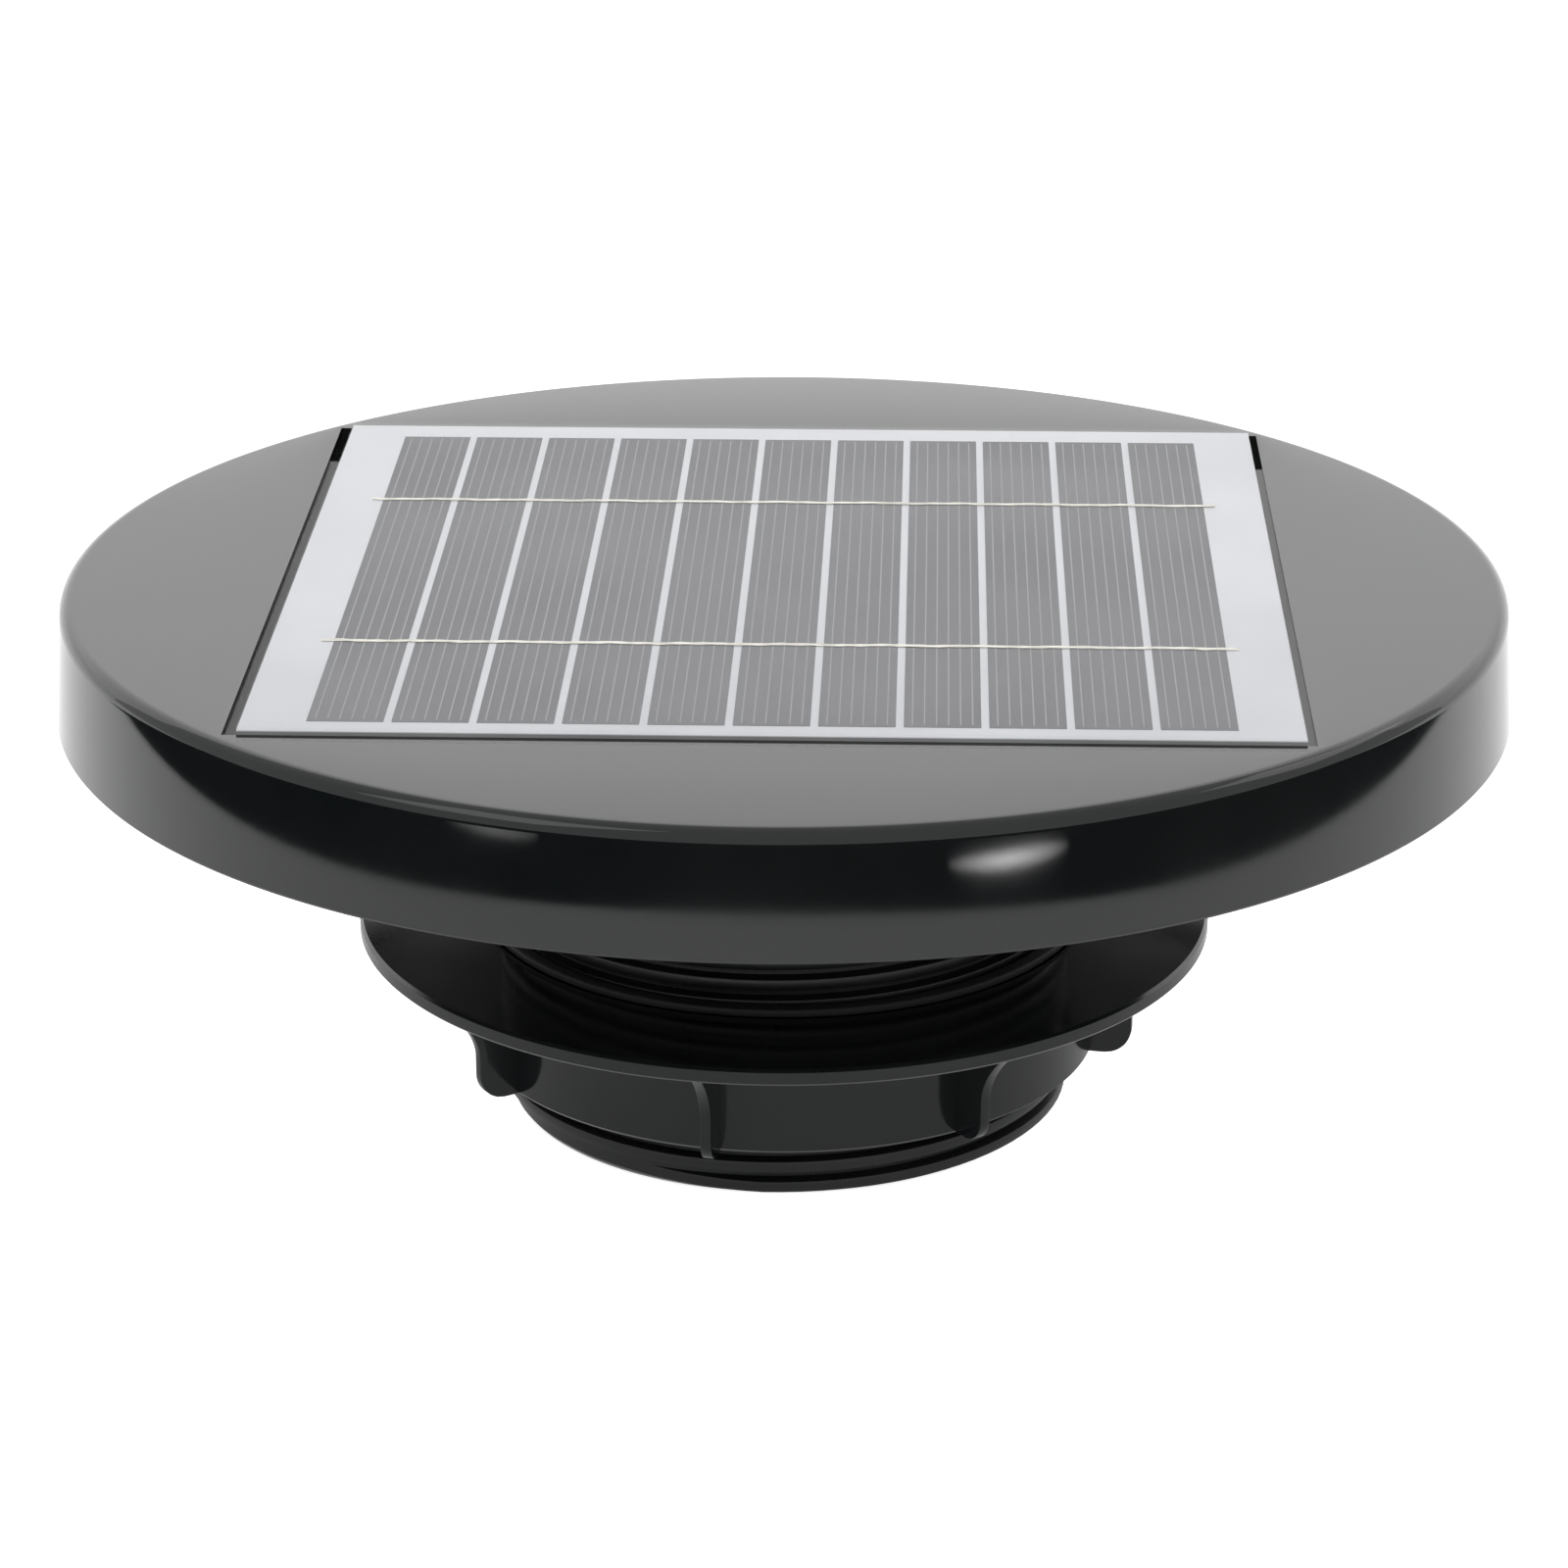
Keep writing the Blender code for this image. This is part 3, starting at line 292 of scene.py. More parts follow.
CAP_BLACK = moulded("cap_black", (0.0040, 0.0052, 0.0056), (0.0075, 0.0085, 0.0088), 0.035, 0.065,
                    420.0, 0.02)
DUCT_BLACK = moulded("duct_black", (0.0055, 0.0062, 0.0066), (0.010, 0.0105, 0.011), 0.22, 0.34)
NUT_BLACK = moulded("nut_black", (0.0050, 0.0062, 0.0066), (0.009, 0.010, 0.0105), 0.09, 0.15, 500.0, 0.03)
RUBBER = moulded("seal_rubber", (0.008, 0.008, 0.008), (0.016, 0.016, 0.0155), 0.5, 0.7, 1500.0, 0.35)
IMPELLER_BLACK = moulded("impeller_black", (0.010, 0.010, 0.011), (0.018, 0.018, 0.019), 0.3, 0.42)
print("plastic finishes made")

# %% [markdown]
# ## Metals, copper and nylon
# The motor and the screws are seen only in gaps. Rolled steel shows fine drawing lines round the can,
# wound copper shows its wires, and the nylon end cap is a soft milky white.


# %% Finishes for the motor and screws
def metal(name, dark, light, smoothest, roughest, stretch):
    made, shader = new_finish(name, light, smoothest, metallic=1.0)
    tree = made.node_tree
    lines = noise_on(tree, 160.0, 4.0, stretch)
    tree.links.new(two_tone(tree, lines.outputs["Fac"], dark, light), shader.inputs["Base Color"])
    tree.links.new(ranged(tree, lines.outputs["Fac"], smoothest, roughest), shader.inputs["Roughness"])
    bumped(tree, lines.outputs["Fac"], shader, 0.15, 0.00005)
    return made


STEEL = metal("steel", (0.42, 0.42, 0.43), (0.62, 0.62, 0.63), 0.22, 0.38, (1, 1, 14))
BRONZE = metal("bronze", (0.42, 0.27, 0.13), (0.62, 0.43, 0.24), 0.3, 0.45, (1, 1, 4))
COPPER = metal("copper", (0.42, 0.16, 0.07), (0.70, 0.33, 0.18), 0.25, 0.4, (1, 1, 24))
TINNED = metal("tinned_ribbon", (0.40, 0.38, 0.32), (0.84, 0.82, 0.76), 0.28, 0.5, (2, 14, 1))
FERRITE = moulded("magnet_ferrite", (0.03, 0.03, 0.032), (0.055, 0.055, 0.058), 0.5, 0.7)
NYLON = moulded("motor_end_plastic", (0.62, 0.60, 0.55), (0.72, 0.70, 0.65), 0.35, 0.5)
RED_LEAD = moulded("lead_red", (0.36, 0.012, 0.010), (0.46, 0.02, 0.016), 0.3, 0.42)
BLACK_LEAD = moulded("lead_black", (0.008, 0.008, 0.008), (0.014, 0.014, 0.014), 0.3, 0.42)
for slot, finish in {"steel": STEEL, "bronze": BRONZE, "copper": COPPER, "magnet_ferrite": FERRITE,
                     "motor_end_plastic": NYLON, "lead_red": RED_LEAD, "lead_black": BLACK_LEAD,
                     "duct_black": DUCT_BLACK, "seal_rubber": RUBBER}.items():
    names = [part["node"] for part in frame["record"]["subparts"] if part["material_slot"] == slot]
    for name in names:
        frame["nodes"][name].data.materials.clear()
        frame["nodes"][name].data.materials.append(finish)
    print(slot, "on", len(names), "solids")

# %% [markdown]
# ## The panel's layers
# Under a clear film lie grey silicon cells on a white backing. The film's face is slightly hazy, and the
# backing is satin, with a faint mottling of the resin. Each cell is a little different from the next.

# %% Finishes for the panel
BACKING_WHITE = moulded("backsheet_white", (0.58, 0.59, 0.62), (0.66, 0.67, 0.70), 0.35, 0.5, 300.0, 0.05)
CELL_GREY = moulded("cell_silicon", (0.022, 0.0215, 0.031), (0.033, 0.0325, 0.044), 0.3, 0.4, 2600.0, 0.08)
FINGER_SILVER = moulded("cell_finger", (0.22, 0.22, 0.22), (0.36, 0.36, 0.35), 0.4, 0.55)
EDGE_GREY = moulded("panel_edge", (0.24, 0.24, 0.24), (0.32, 0.32, 0.32), 0.4, 0.55)
SEALANT = moulded("panel_sealant", (0.60, 0.60, 0.58), (0.68, 0.68, 0.66), 0.45, 0.6)
FILM, film_shader = new_finish("panel_film", (0.93, 0.94, 0.96), 0.16)
film_shader.inputs["Alpha"].default_value = 0.045
haze = noise_on(FILM.node_tree, 34.0, 3.0)
FILM.node_tree.links.new(ranged(FILM.node_tree, haze.outputs["Fac"], 0.12, 0.2),
                         film_shader.inputs["Roughness"])
frame["nodes"]["panel_sealant"].data.materials.clear()
frame["nodes"]["panel_sealant"].data.materials.append(SEALANT)
print("panel finishes made")

# %% [markdown]
# ## The cap
# The cap is one thin moulding: a flat disc with a rounded edge and a skirt that flares slightly, so that it
# leaves its mould. A square tray is sunk in its middle for the panel. The shell is turned first, and the
# tray is then added below and cut from above.


# %% Turn the cap's shell
def quarter(centre, radius, start, end, steps=8):
    angles = [math.radians(start + (end - start) * k / steps) for k in range(steps + 1)]
    return [(centre[0] + radius * math.cos(a), centre[1] + radius * math.sin(a)) for a in angles]


shoulder = CAP_RADIUS - CAP_DRAFT
cap_profile = [(0.0, CAP_TOP)]
cap_profile += quarter((shoulder - CAP_EDGE, CAP_TOP - CAP_EDGE), CAP_EDGE, 90, 0)
cap_profile += [(CAP_RADIUS - 0.0001, cap_low.z + 0.0004), (CAP_RADIUS - 0.0004, cap_low.z)]
cap_profile += [(CAP_RADIUS - CAP_WALL, cap_low.z)]
cap_profile += quarter((shoulder - CAP_WALL - CAP_EDGE, CAP_TOP - CAP_WALL - CAP_EDGE), CAP_EDGE, 0, 90, 4)
cap_profile += [(0.0, CAP_TOP - CAP_WALL)]
cap = turned("cap", cap_profile, 256)
print("skirt", round((CAP_TOP - cap_low.z) * 1000, 1), "mm high")

# %% Sink the tray, and add the screw bosses
film_low, film_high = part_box("panel_cover_film")
half_x = (film_high.x - film_low.x) / 2 + TRAY_GAP[0]
half_y = (film_high.y - film_low.y) / 2 + TRAY_GAP[1]
floor_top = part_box("panel_sealant")[0].z - 0.0001
floor_low = floor_top - TRAY_FLOOR
unite(cap, block("tray_body", (-half_x - TRAY_WALL, -half_y - TRAY_WALL, floor_low),
                 (half_x + TRAY_WALL, half_y + TRAY_WALL, CAP_TOP - CAP_WALL / 2)))
unite(cap, block("tray_cut", (-half_x, -half_y, floor_top), (half_x, half_y, CAP_TOP + 0.01)), "DIFFERENCE")
boss_low = floor_low - BOSS_HEIGHT
screw_places = [on_circle(SCREW_CIRCLE, math.radians(45 + 90 * number)) for number in range(4)]
for place in screw_places:
    unite(cap, post("boss", BOSS_RADIUS, boss_low, floor_low + 0.0005, place))
    unite(cap, post("boss_hole", SCREW_HOLE, boss_low - 0.0012, floor_low - 0.0005, place, 24), "DIFFERENCE")
grommet_low, grommet_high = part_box("wire_grommet")
wire_x = (grommet_low.x + grommet_high.x) / 2
unite(cap, post("wire_hole", WIRE_HOLE, floor_low - 0.002, floor_top + 0.002, (wire_x, 0.0)), "DIFFERENCE")
tidy_mesh(cap)
smooth(cap, 30)
finished(cap, "housing", "cap_black", CAP_BLACK, "cap_shell")

# %% [markdown]
# ## The solar panel
# The film and the white backing are square plates with softened edges, a block with a fine bevel each.
# The backing sits on a bead of sealant in the tray, and rises almost to the film: the cells, their fingers
# and the ribbons lie in the clear resin between the two.


# %% Film and backing
BACKING_TOP = film_low.z - 0.00020
CELL_TOP = film_low.z - 0.00014
RIBBON_LOW = film_low.z - 0.00013


def plate(name, node, edge, top=None):
    low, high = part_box(node)
    piece = block(name, low, (high.x, high.y, top or high.z))
    round_edges(piece, edge, 2)
    smooth(piece, 40)
    return piece


def grey_sides(piece, finish):
    """Gives a plate's upright faces a second finish, as a cut edge has."""
    piece.data.materials.append(finish)
    for face in piece.data.polygons:
        if abs(face.normal.z) < 0.3:
            face.material_index = 1


finished(plate("panel_film", "panel_cover_film", 0.0001), "housing", "panel_film", FILM, "panel_cover_film")
finished(plate("panel_backing", "panel_backsheet", 0.0002, BACKING_TOP), "housing", "backsheet_white",
         BACKING_WHITE, "panel_backsheet")
grey_sides(bpy.data.objects["panel_backing"], EDGE_GREY)

# %% [markdown]
# ## The cells
# A cell is a strip sawn from a full wafer, with silver finger lines printed along it every 1.9 mm. The
# fingers are real strips: one is added, an Array modifier repeats it, and both are joined to the wafer,
# with a material slot for each. The fingers stop just short of the wafer's ends.

# %% One cell after another
FINGER_STEP = 0.0019
FINGER_WIDTH = 0.00018
FINGER_HEIGHT = 0.00003
FINGER_COUNT = 6
for number in range(1, 12):
    node = f"solar_cell_{number:02d}"
    low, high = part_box(node)
    middle = (low.x + high.x) / 2
    wafer = block(f"cell_{number:02d}", (low.x, low.y, BACKING_TOP - 0.00002), (high.x, high.y, CELL_TOP))
    round_edges(wafer, 0.00003, 1)
    first = middle - (FINGER_COUNT - 1) / 2 * FINGER_STEP
    finger = block("finger", (first - FINGER_WIDTH / 2, low.y + 0.0012, CELL_TOP - 0.00001),
                   (first + FINGER_WIDTH / 2, high.y - 0.0012, CELL_TOP + FINGER_HEIGHT))
    apply_modifier(finger, "Repeat", "ARRAY", count=FINGER_COUNT, use_relative_offset=False,
                   use_constant_offset=True, constant_offset_displace=(FINGER_STEP, 0, 0))
    finished(wafer, "housing", "cell_silicon", CELL_GREY, node)
    finger.data.materials.append(FINGER_SILVER)
    activate(wafer)
    finger.select_set(True)
    bpy.ops.object.join()

# %% [markdown]
# ## The ribbons
# Two tinned copper ribbons join the cells in a string. They were soldered by hand, so they wander a little
# from side to side. Each is a long block, subdivided along its length, whose vertices are then moved on
# three waves of different length.


# %% Ribbons
def ribbon(name, node, phase):
    low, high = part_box(node)
    start_clean()
    bpy.ops.mesh.primitive_grid_add(x_subdivisions=300, y_subdivisions=2, size=1.0)
    piece = bpy.context.object
    piece.name = name
    length = high.x - low.x
    middle = (low.y + high.y) / 2
    for vertex in piece.data.vertices:
        x = low.x + (vertex.co.x + 0.5) * length
        sway = 0.00013 * math.sin(x * 410 + phase) + 0.00007 * math.sin(x * 1130 + 2 * phase)
        width = 0.00112 + 0.00014 * math.sin(x * 1900 + phase)
        vertex.co = (x, middle + sway + vertex.co.y * width, RIBBON_LOW)
    bpy.ops.object.transform_apply(location=True, rotation=True, scale=True)
    apply_modifier(piece, "Thickness", "SOLIDIFY", thickness=0.00010, offset=1.0)
    smooth(piece, 40)
    return finished(piece, "housing", "tinned_ribbon", TINNED, node)


ribbon("ribbon_front", "busbar_ribbon_front", 0.4)
ribbon("ribbon_rear", "busbar_ribbon_rear", 2.1)

# %% [markdown]
# ## The threaded duct
# The thread is a real helix, not a stack of rings. Its four-sided cross-section is repeated round the
# axis by a Screw modifier that climbs one pitch a turn. The ends are then tapered into the wall, as a
# mould maker runs a thread out, and the ridge is united with the turned tube.


# %% A helical ridge
def helix(name, root, crest, root_half, crest_half, start, turns, lead=0.0):
    """A right-handed ridge from root out to crest, or in to it for a nut. Its middle climbs from
    start, at angle 0, and the ridge begins lead turns later."""
    sink = 0.0006 if crest > root else -0.0006
    lift = start + lead * PITCH
    length = turns - lead
    piece = outline_loop(name, [(root - sink, lift - root_half), (crest, lift - crest_half),
                                (crest, lift + crest_half), (root - sink, lift + root_half)])
    piece.data.transform(Matrix.Rotation(2 * math.pi * lead, 4, "Z"))
    steps = round(96 * length)
    apply_modifier(piece, "Climb", "SCREW", angle=2 * math.pi * length, screw_offset=PITCH * length,
                   iterations=1, steps=steps, render_steps=steps, use_merge_vertices=False)
    fade = 0.25
    rise = fade / 3 if lead else fade
    inside = root - sink * 0.6
    for vertex in piece.data.vertices:
        angle = math.atan2(vertex.co.y, vertex.co.x) % (2 * math.pi)
        along = (vertex.co.z - start) / PITCH
        turn = round(along - angle / (2 * math.pi)) + angle / (2 * math.pi)
        share = max(0.0, min(1.0, (turn - lead) / rise, (turns - turn) / fade))
        radius = math.hypot(vertex.co.x, vertex.co.y)
        if (radius - inside) * sink > 0:
            scale = (inside + (radius - inside) * share) / radius
            vertex.co.x *= scale
            vertex.co.y *= scale
    activate(piece)
    bpy.ops.object.mode_set(mode="EDIT")
    bpy.ops.mesh.select_all(action="SELECT")
    bpy.ops.mesh.fill_holes(sides=4)
    bpy.ops.object.mode_set(mode="OBJECT")
    tidy_mesh(piece, 0.000001)
    return piece


# %% Turn the duct and its flange, and unite the thread
DUCT_BORE = 0.0440
SEAT_RADIUS = 0.0452
SEAT_DEPTH = 0.0030
BRACKET_THICK = 0.0030
FLANGE_THICK = 0.0030
EAR_CIRCLE = 0.0515
EAR_RADIUS = 0.0035
EAR_HOLE = 0.0015
FOOT_CHAMFER = 0.0009
SOFTENED = 0.0006
DUCT_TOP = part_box("motor_bracket")[1].z - BRACKET_THICK - FACE_GAP
gasket_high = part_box("roof_gasket")[1]
FLANGE_LOW = gasket_high.z + FACE_GAP
FLANGE_HIGH = FLANGE_LOW + FLANGE_THICK
FLANGE_RADIUS = duct_high.x
duct_profile = [(THREAD_ROOT, DUCT_TOP), (THREAD_ROOT, FLANGE_HIGH + 0.0008),
                (THREAD_ROOT + 0.0008, FLANGE_HIGH), (FLANGE_RADIUS - SOFTENED, FLANGE_HIGH),
                (FLANGE_RADIUS, FLANGE_HIGH - SOFTENED), (FLANGE_RADIUS, FLANGE_LOW + SOFTENED),
                (FLANGE_RADIUS - SOFTENED, FLANGE_LOW), (THREAD_ROOT, FLANGE_LOW),
                (THREAD_ROOT, FOOT_CHAMFER), (THREAD_ROOT - 0.0007, 0.0),
                (SEAT_RADIUS + 0.0003, 0.0), (SEAT_RADIUS, 0.0003), (SEAT_RADIUS, SEAT_DEPTH),
                (DUCT_BORE, SEAT_DEPTH), (DUCT_BORE, DUCT_TOP - 0.0004), (DUCT_BORE + 0.0004, DUCT_TOP)]
duct = turned("threaded_duct", duct_profile, 192)
ridge = helix("duct_ridge", THREAD_ROOT, THREAD_CREST, RIDGE_ROOT, RIDGE_CREST, THREAD_START + RIDGE_ROOT,
              THREAD_TURNS, THREAD_LEAD)
round_edges(ridge, 0.00025, 2, 20)
unite(duct, ridge)
for place in screw_places:
    unite(duct, post("pillar", PILLAR_RADIUS, FLANGE_HIGH - 0.0005, boss_low - FACE_GAP, place))
    unite(duct, post("screw_hole", SCREW_HOLE, FLANGE_LOW - 0.001, floor_low - 0.005, place, 24),
          "DIFFERENCE")
    unite(duct, post("screw_sink", SCREW_SINK, FLANGE_LOW - 0.001, FLANGE_LOW + 0.0032, place, 32),
          "DIFFERENCE")
for number in range(3):
    place = on_circle(EAR_CIRCLE, math.radians(90 + 120 * number))
    unite(duct, post("ear_boss", EAR_RADIUS, FLANGE_HIGH - 0.0005, DUCT_TOP - 0.0001, place, 32))
    unite(duct, post("ear_hole", EAR_HOLE, FLANGE_HIGH + 0.0005, DUCT_TOP + 0.001, place, 24), "DIFFERENCE")
tidy_mesh(duct)
smooth(duct, 32)
finished(duct, "housing", "duct_black", DUCT_BLACK, "base_duct")

# %% [markdown]
# ## Gasket and seal
# The flat rubber ring under the flange and the small ring on the nut are turned, with soft edges.


# %% Rubber rings
def rubber_ring(name, node, inner, edge, body):
    low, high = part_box(node)
    outer = high.x
    profile = [(outer, high.z), (outer, low.z), (inner, low.z), (inner, high.z)]
    piece = turned(name, profile, 160)
    round_edges(piece, edge, 3)
    smooth(piece, 40)
    return finished(piece, body, "seal_rubber", RUBBER, node)


GASKET_INNER = 0.0515
rubber_ring("roof_seal", "roof_gasket", GASKET_INNER, 0.0005, "housing")
rubber_ring("thread_seal", "thread_seal_ring", NUT_BORE, 0.00035, "seal_ring")

# %% [markdown]
# ## The clamp nut
# The nut is a flat plate over a collar, turned in one piece, with a shorter thread inside. Eight thin fins
# give the hand a grip. A fin starts as a flat grid: the outer column of vertices follows the fin's edge,
# round at the foot and flaring out under the plate, and Solidify and Bevel turn it into a moulded rib.


# %% Fin shape
FIN_REACH = 0.0623
FIN_TOP_REACH = 0.0715
FIN_FOOT = 0.0048
FIN_FLARE = 0.0125
PLATE_LOW = nut_high.z - NUT_PLATE


def fin_edge(z):
    """How far out the fin's edge is at height z."""
    low = nut_low.z + 0.0002
    if z < low + FIN_FOOT:
        drop = (low + FIN_FOOT - z) / FIN_FOOT
        return FIN_REACH - FIN_FOOT + FIN_FOOT * math.sqrt(max(0.0, 1 - drop * drop))
    flare = max(0.0, min(1.0, (z - (PLATE_LOW - FIN_FLARE)) / FIN_FLARE))
    return FIN_REACH + (FIN_TOP_REACH - FIN_REACH) * flare ** 1.8


def make_fin():
    start_clean()
    bpy.ops.mesh.primitive_grid_add(x_subdivisions=6, y_subdivisions=40, size=1.0)
    fin = bpy.context.object
    inner = NUT_COLLAR - 0.0012
    low = nut_low.z + 0.0002
    for vertex in fin.data.vertices:
        z = low + (vertex.co.y + 0.5) ** 1.15 * (PLATE_LOW + 0.0006 - low)
        reach = fin_edge(z)
        vertex.co = (inner + (vertex.co.x + 0.5) * (reach - inner), 0.0, z)
    apply_modifier(fin, "Thickness", "SOLIDIFY", thickness=FIN_THICK, offset=0.0)
    round_edges(fin, 0.0006, 3, 50)
    tidy_mesh(fin, 0.000002)
    return fin


# %% Turn the nut, and add its thread and fins
nut_radius = max(nut_high.x, NUT_RADIUS)
seat = nut_high.z - SEAL_SEAT_DEPTH
nut_profile = [(NUT_BORE + 0.0004, seat), (SEAL_SEAT_RADIUS, seat), (SEAL_SEAT_RADIUS + 0.0001, nut_high.z),
               (nut_radius - 0.0005, nut_high.z), (nut_radius, nut_high.z - 0.0005),
               (nut_radius, PLATE_LOW + 0.0004), (nut_radius - 0.0004, PLATE_LOW),
               (NUT_COLLAR + 0.0008, PLATE_LOW), (NUT_COLLAR, PLATE_LOW - 0.0008),
               (NUT_COLLAR, nut_low.z + 0.0005), (NUT_COLLAR - 0.0005, nut_low.z),
               (NUT_BORE + 0.0005, nut_low.z), (NUT_BORE, nut_low.z + 0.0005), (NUT_BORE, seat - 0.0004)]
nut = turned("finned_nut", nut_profile, 192)
duct_start = THREAD_START + RIDGE_ROOT
nut_start = duct_start + (math.ceil((nut_low.z - duct_start) / PITCH) + 0.5) * PITCH
unite(nut, helix("nut_ridge", NUT_BORE, THREAD_ROOT + 0.0005, PITCH * 0.23, PITCH * 0.08, nut_start, 4))
fin = make_fin()
for number in range(FIN_COUNT):
    angle = math.radians(FIN_FIRST + 360 / FIN_COUNT * number)
    unite(nut, copy_turned(fin, "fin_copy", angle))
bpy.data.objects.remove(fin)
tidy_mesh(nut)
smooth(nut, 32)
finished(nut, "nut", "nut_black", NUT_BLACK, "clamp_nut")

# %% [markdown]
# ## The inlet guard
# A guard of rings and spokes in the duct's end keeps fingers and nests out. The rings are turned, the
# spokes are blocks from the hub to the rim, and all are united and softened by one bevel.

# %% Inlet guard
guard_low, guard_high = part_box("inlet_grille")
GUARD_STEP = 0.0078
GUARD_BAR = 0.0015
GUARD_HUB = 0.0080
GUARD_RIM = 0.0024
SPOKE_HALF = 0.0010


def guard_ring(name, inner, outer, shrink, sides=120):
    low = guard_low.z + shrink
    high = guard_high.z - shrink
    return turned(name, [(outer, high), (outer, low), (inner, low), (inner, high)], sides)


guard = guard_ring("inlet_guard", guard_high.x - GUARD_RIM, guard_high.x, 0.0)
for number in range(4):
    inner = GUARD_HUB + (number + 1) * GUARD_STEP - GUARD_BAR
    unite(guard, guard_ring("bar", inner, inner + GUARD_BAR, 0.00005, 96))
for number in range(6):
    spoke = block("spoke", (GUARD_HUB / 2, -SPOKE_HALF, guard_low.z + 0.0001),
                  (guard_high.x - 0.001, SPOKE_HALF, guard_high.z - 0.0001))
    spoke.data.transform(Matrix.Rotation(math.radians(30 + 60 * number), 4, "Z"))
    unite(guard, spoke)
unite(guard, post("hub", GUARD_HUB, guard_low.z + 0.0002, guard_high.z - 0.0002, (0, 0), 64))
tidy_mesh(guard)
round_edges(guard, 0.0002, 2, 50)
smooth(guard, 35)
finished(guard, "housing", "duct_black", DUCT_BLACK, "inlet_grille")

# %% [markdown]
# ## The impeller
# Seven twisted blades stand on a hollow hub. A blade is a grid laid on the surface that the model
# describes: steeper at the root, flatter at the tip and slightly cambered. Solidify gives it its wall.

# %% Impeller
HUB_RADIUS = 0.0125
HUB_BOTTOM = 0.0410
HUB_TOP = 0.0555
HUB_WALL = 0.0018
HUB_ROUND = 0.0020
HUB_FLOOR = 0.0040
SHAFT_BOSS = 0.0035
BLADE_COUNT = 7
BLADE_TIP = 0.0424
BLADE_SINK = 0.0009
BLADE_CHORD = 0.0200
BLADE_CAMBER = 0.0016
BLADE_WALL = 0.0013
SHAFT_BORE = 0.0011
SHAFT_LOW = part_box("motor_shaft")[0].z


def make_blade():
    start_clean()
    bpy.ops.mesh.primitive_grid_add(x_subdivisions=20, y_subdivisions=14, size=1.0)
    blade = bpy.context.object
    for vertex in blade.data.vertices:
        share = vertex.co.x + 0.5
        s = vertex.co.y
        radius = HUB_RADIUS - BLADE_SINK + (BLADE_TIP - HUB_RADIUS + BLADE_SINK) * share
        tilt = math.radians(42 - 18 * share)
        chord = BLADE_CHORD * (0.75 + 0.35 * share)
        camber = BLADE_CAMBER * (1 - 4 * s * s)
        tangent = s * chord * math.cos(tilt) - camber * math.sin(tilt)
        height = s * chord * math.sin(tilt) + camber * math.cos(tilt)
        sweep = math.atan2(tangent, radius)
        vertex.co = (radius * math.cos(sweep), radius * math.sin(sweep),
                     (HUB_BOTTOM + HUB_TOP) / 2 + height)
    apply_modifier(blade, "Wall", "SOLIDIFY", thickness=BLADE_WALL, offset=0.0)
    round_edges(blade, 0.0004, 2, 50)
    tidy_mesh(blade, 0.000002)
    return blade


hub_profile = [(HUB_RADIUS, HUB_TOP), (HUB_RADIUS, HUB_BOTTOM + HUB_ROUND)]
hub_profile += quarter((HUB_RADIUS - HUB_ROUND, HUB_BOTTOM + HUB_ROUND), HUB_ROUND, 0, -90, 6)[1:]
hub_profile += [(0.0, HUB_BOTTOM), (0.0, SHAFT_LOW - FACE_GAP), (SHAFT_BORE, SHAFT_LOW - FACE_GAP),
                (SHAFT_BORE, HUB_TOP), (SHAFT_BOSS, HUB_TOP), (SHAFT_BOSS, HUB_BOTTOM + HUB_FLOOR),
                (HUB_RADIUS - HUB_WALL, HUB_BOTTOM + HUB_FLOOR), (HUB_RADIUS - HUB_WALL, HUB_TOP)]
impeller = turned("fan_impeller", hub_profile, 96)
blade = make_blade()
for number in range(BLADE_COUNT):
    unite(impeller, copy_turned(blade, "blade_copy", math.radians(360 / BLADE_COUNT * number)))
bpy.data.objects.remove(blade)
tidy_mesh(impeller)
smooth(impeller, 32)
finished(impeller, "rotor", "impeller_black", IMPELLER_BLACK, "impeller")

# %% [markdown]
# ## Floor and light
# The fan stands on a pale floor before a bright backdrop. The flat cap is seen at a low angle, so it
# mirrors the backdrop and turns grey. The skirt mirrors the floor in front of it: a dark card lies there,
# unseen by the camera, so only the lower half of the skirt catches light. A grey disc under the duct dims
# what the nut mirrors, and two glowing discs that fade outwards make the soft glints on the skirt.


# %% Floor, backdrop and cards
def stage_plane(name, size, location, rotation, colour, glow=0.0, seen=True, disc=False, fade=False):
    """A plain or glowing card. With fade, its glow falls to nothing at the rim."""
    start_clean()
    if disc:
        bpy.ops.mesh.primitive_circle_add(vertices=96, radius=0.5, fill_type="NGON", location=location,
                                          rotation=rotation)
    else:
        bpy.ops.mesh.primitive_plane_add(size=1.0, location=location, rotation=rotation)
    plane = bpy.context.object
    plane.name = name
    plane.scale = (size[0], size[1], 1.0)
    made, shader = new_finish(name + "_finish", colour, 0.8, specular=0.1)
    if glow:
        shader.inputs["Emission Color"].default_value = (*colour, 1.0)
        shader.inputs["Emission Strength"].default_value = glow
    if fade:
        place = made.node_tree.nodes.new("ShaderNodeTexCoord")
        reach = made.node_tree.nodes.new("ShaderNodeVectorMath")
        reach.operation = "LENGTH"
        made.node_tree.links.new(place.outputs["Object"], reach.inputs[0])
        made.node_tree.links.new(ranged(made.node_tree, reach.outputs["Value"], glow, 0.0, 0.0, 0.5),
                                 shader.inputs["Emission Strength"])
    plane.data.materials.append(made)
    plane.visible_camera = seen
    plane.visible_shadow = False
    return plane


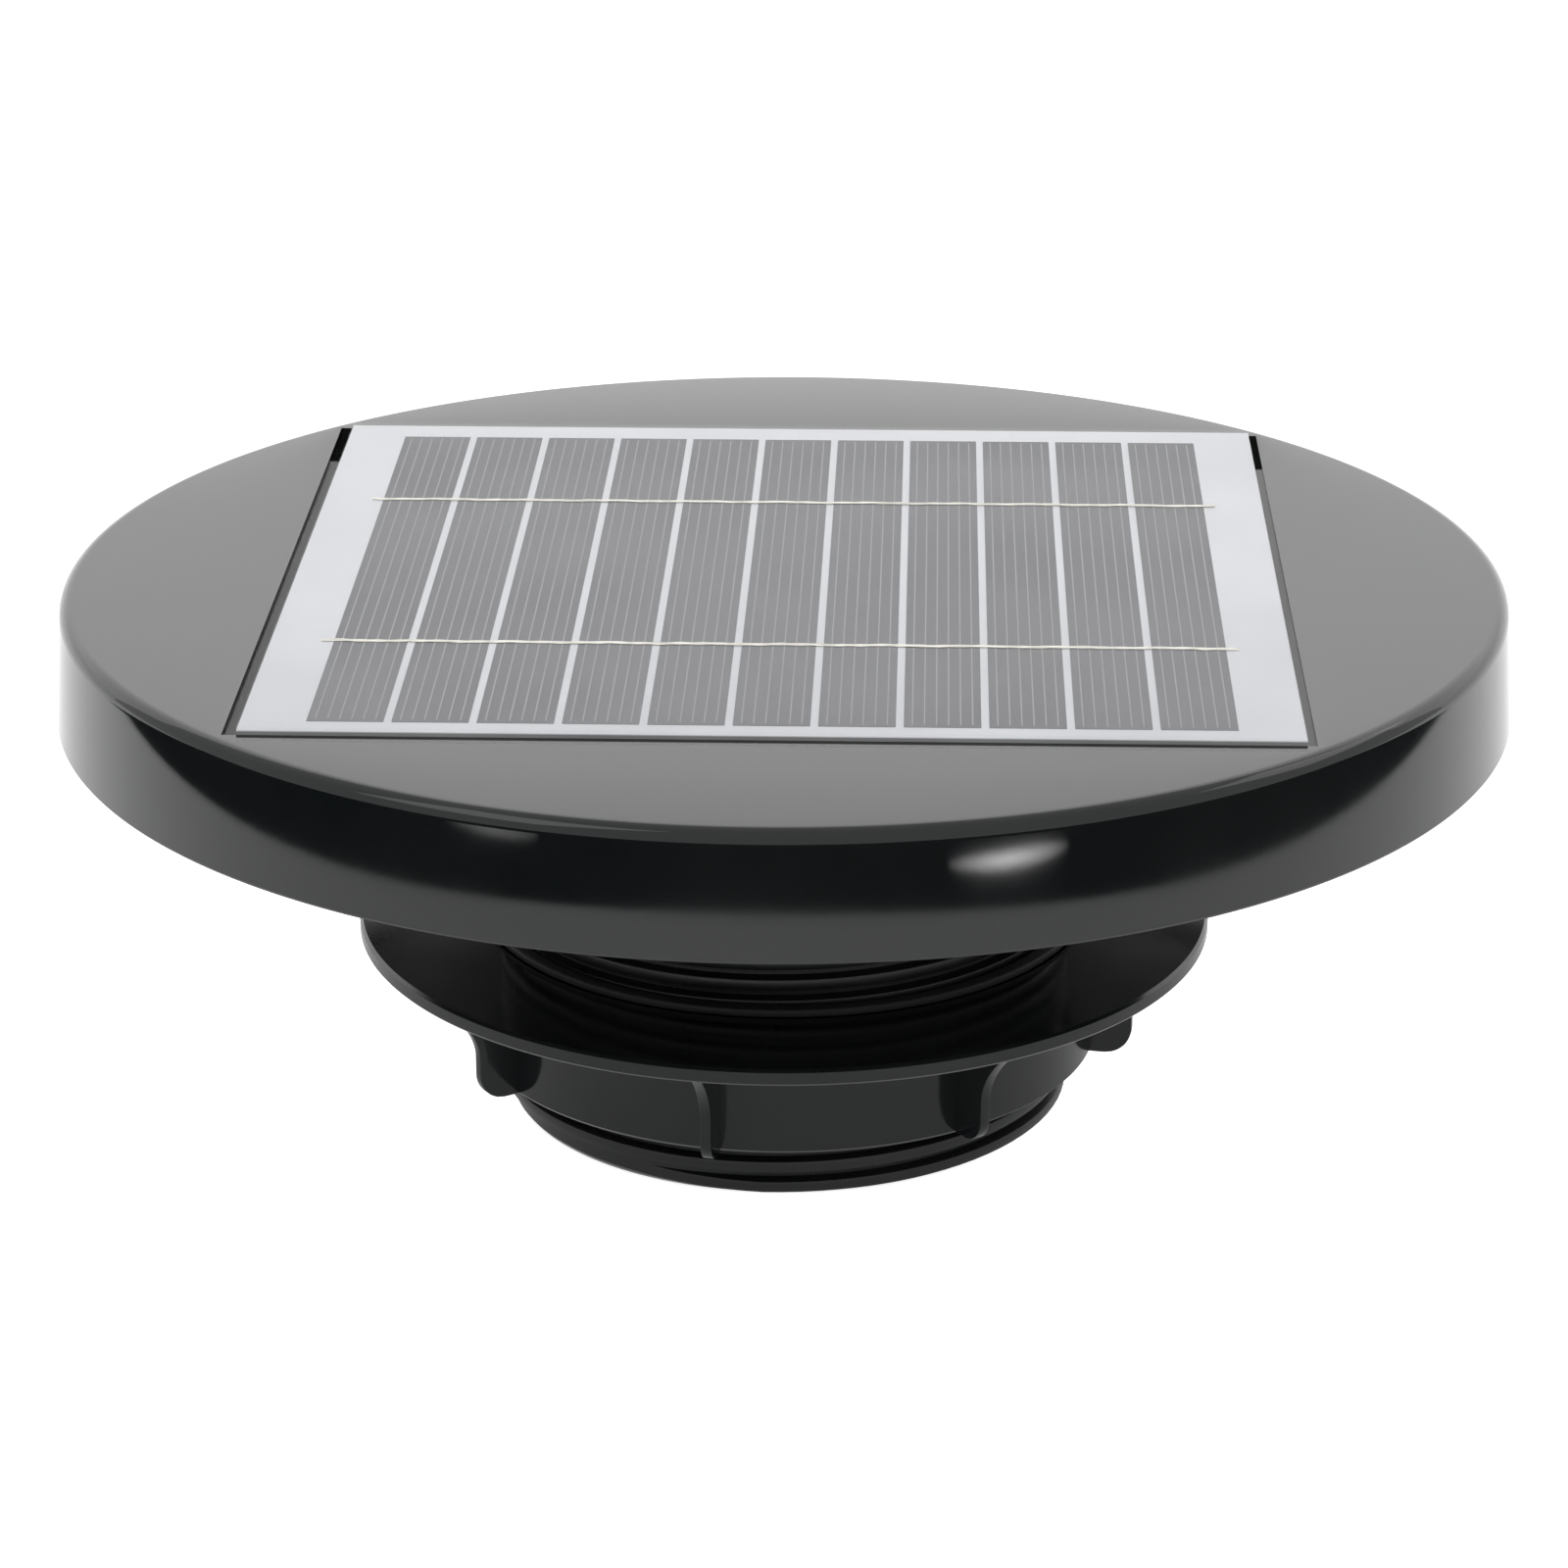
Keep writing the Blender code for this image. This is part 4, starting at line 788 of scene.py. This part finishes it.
FLOOR_EDGE = 0.452
CARD_NARROWING = 0.874
stage_plane("floor", (8, 8), (0, 0, -0.0002), (0, 0, 0), (0.6, 0.6, 0.6), 1.25)
backdrop = stage_plane("backdrop_glow", (8, 2.6), (0, 2.2, 1.35), (math.radians(90), 0, 0), (1, 1, 1), 0.6,
                       seen=False)
backdrop_tree = backdrop.active_material.node_tree
height = backdrop_tree.nodes.new("ShaderNodeSeparateXYZ")
place = backdrop_tree.nodes.new("ShaderNodeTexCoord")
backdrop_tree.links.new(place.outputs["Object"], height.inputs["Vector"])
backdrop_tree.links.new(ranged(backdrop_tree, height.outputs["Y"], 0.36, 0.71, -0.25, -0.12),
                        backdrop_tree.nodes["Principled BSDF"].inputs["Emission Strength"])
stage_plane("right_glint", (0.140, 0.034), (0.250, -0.418, 0.004), (0, 0, math.radians(32)), (1, 1, 1), 15.0,
            seen=False, disc=True, fade=True)
stage_plane("left_glint", (0.120, 0.030), (-0.31, -0.41, 0.004), (0, 0, math.radians(-38)), (1, 1, 1), 2.2,
            seen=False, disc=True, fade=True)
stage_plane("grey_disc", (0.40, 0.40), (0, 0, 0.0004), (0, 0, 0), (0.4, 0.4, 0.4), 1.0, seen=False, disc=True)
start_clean()
bpy.ops.mesh.primitive_circle_add(vertices=96, radius=FLOOR_EDGE, location=(0, 0, 0.001))
card = bpy.context.object
card.name = "dark_card"
bpy.ops.object.mode_set(mode="EDIT")
bpy.ops.mesh.select_all(action="SELECT")
bpy.ops.transform.resize(value=(CARD_NARROWING, 1, 1), center_override=(0, 0, 0))
bpy.ops.mesh.extrude_edges_move()
bpy.ops.transform.resize(value=(8, 8, 1), center_override=(0, 0, 0))
bpy.ops.mesh.select_all(action="SELECT")
bpy.ops.mesh.bisect(plane_co=(0, 0.14, 0), plane_no=(0, 1, 0), clear_outer=True)
bpy.ops.object.mode_set(mode="OBJECT")
card.data.materials.append(new_finish("dark_card_finish", (0.004, 0.004, 0.004), 0.8, specular=0.1)[0])
card.visible_camera = False
card.visible_shadow = False
world = bpy.data.worlds.new("studio")
bpy.context.scene.world = world
world.use_nodes = True
world.node_tree.nodes["Background"].inputs["Color"].default_value = (1, 1, 1, 1)
world.node_tree.nodes["Background"].inputs["Strength"].default_value = 0.8


# %% Soft lamps
def soft_lamp(name, place, size, power):
    light = bpy.data.lights.new(name, "AREA")
    light.shape = "RECTANGLE"
    light.size = size[0]
    light.size_y = size[1]
    light.energy = power
    lamp = bpy.data.objects.new(name, light)
    lamp.location = place
    lamp.rotation_euler = (Vector(place) - Vector((0, 0, 0.05))).to_track_quat("Z", "Y").to_euler()
    bpy.context.scene.collection.objects.link(lamp)


soft_lamp("key", (-0.9, -0.6, 1.5), (0.9, 0.9), 3)
soft_lamp("fill", (1.2, 0.5, 1.3), (1.0, 0.6), 2)

# %% [markdown]
# ## Camera
# A long lens looks down about twenty degrees and stands a little to the right of the panel's own front.

# %% Camera
TURN = math.radians(1.73)
REACH = 0.8230
RISE = 0.2706
PITCH_DOWN = math.radians(20.61)
camera_data = bpy.data.cameras.new("camera")
camera_data.sensor_width = 36.0
camera_data.lens = 115.56
camera = bpy.data.objects.new("camera", camera_data)
camera.location = (REACH * math.sin(TURN), -REACH * math.cos(TURN), CAP_TOP + RISE)
camera.rotation_euler = (math.pi / 2 - PITCH_DOWN, 0, TURN)
bpy.context.scene.collection.objects.link(camera)
bpy.context.scene.camera = camera
bpy.context.scene.view_settings.view_transform = "Standard"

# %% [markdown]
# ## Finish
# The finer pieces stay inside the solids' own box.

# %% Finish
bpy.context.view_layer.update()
start_clean()
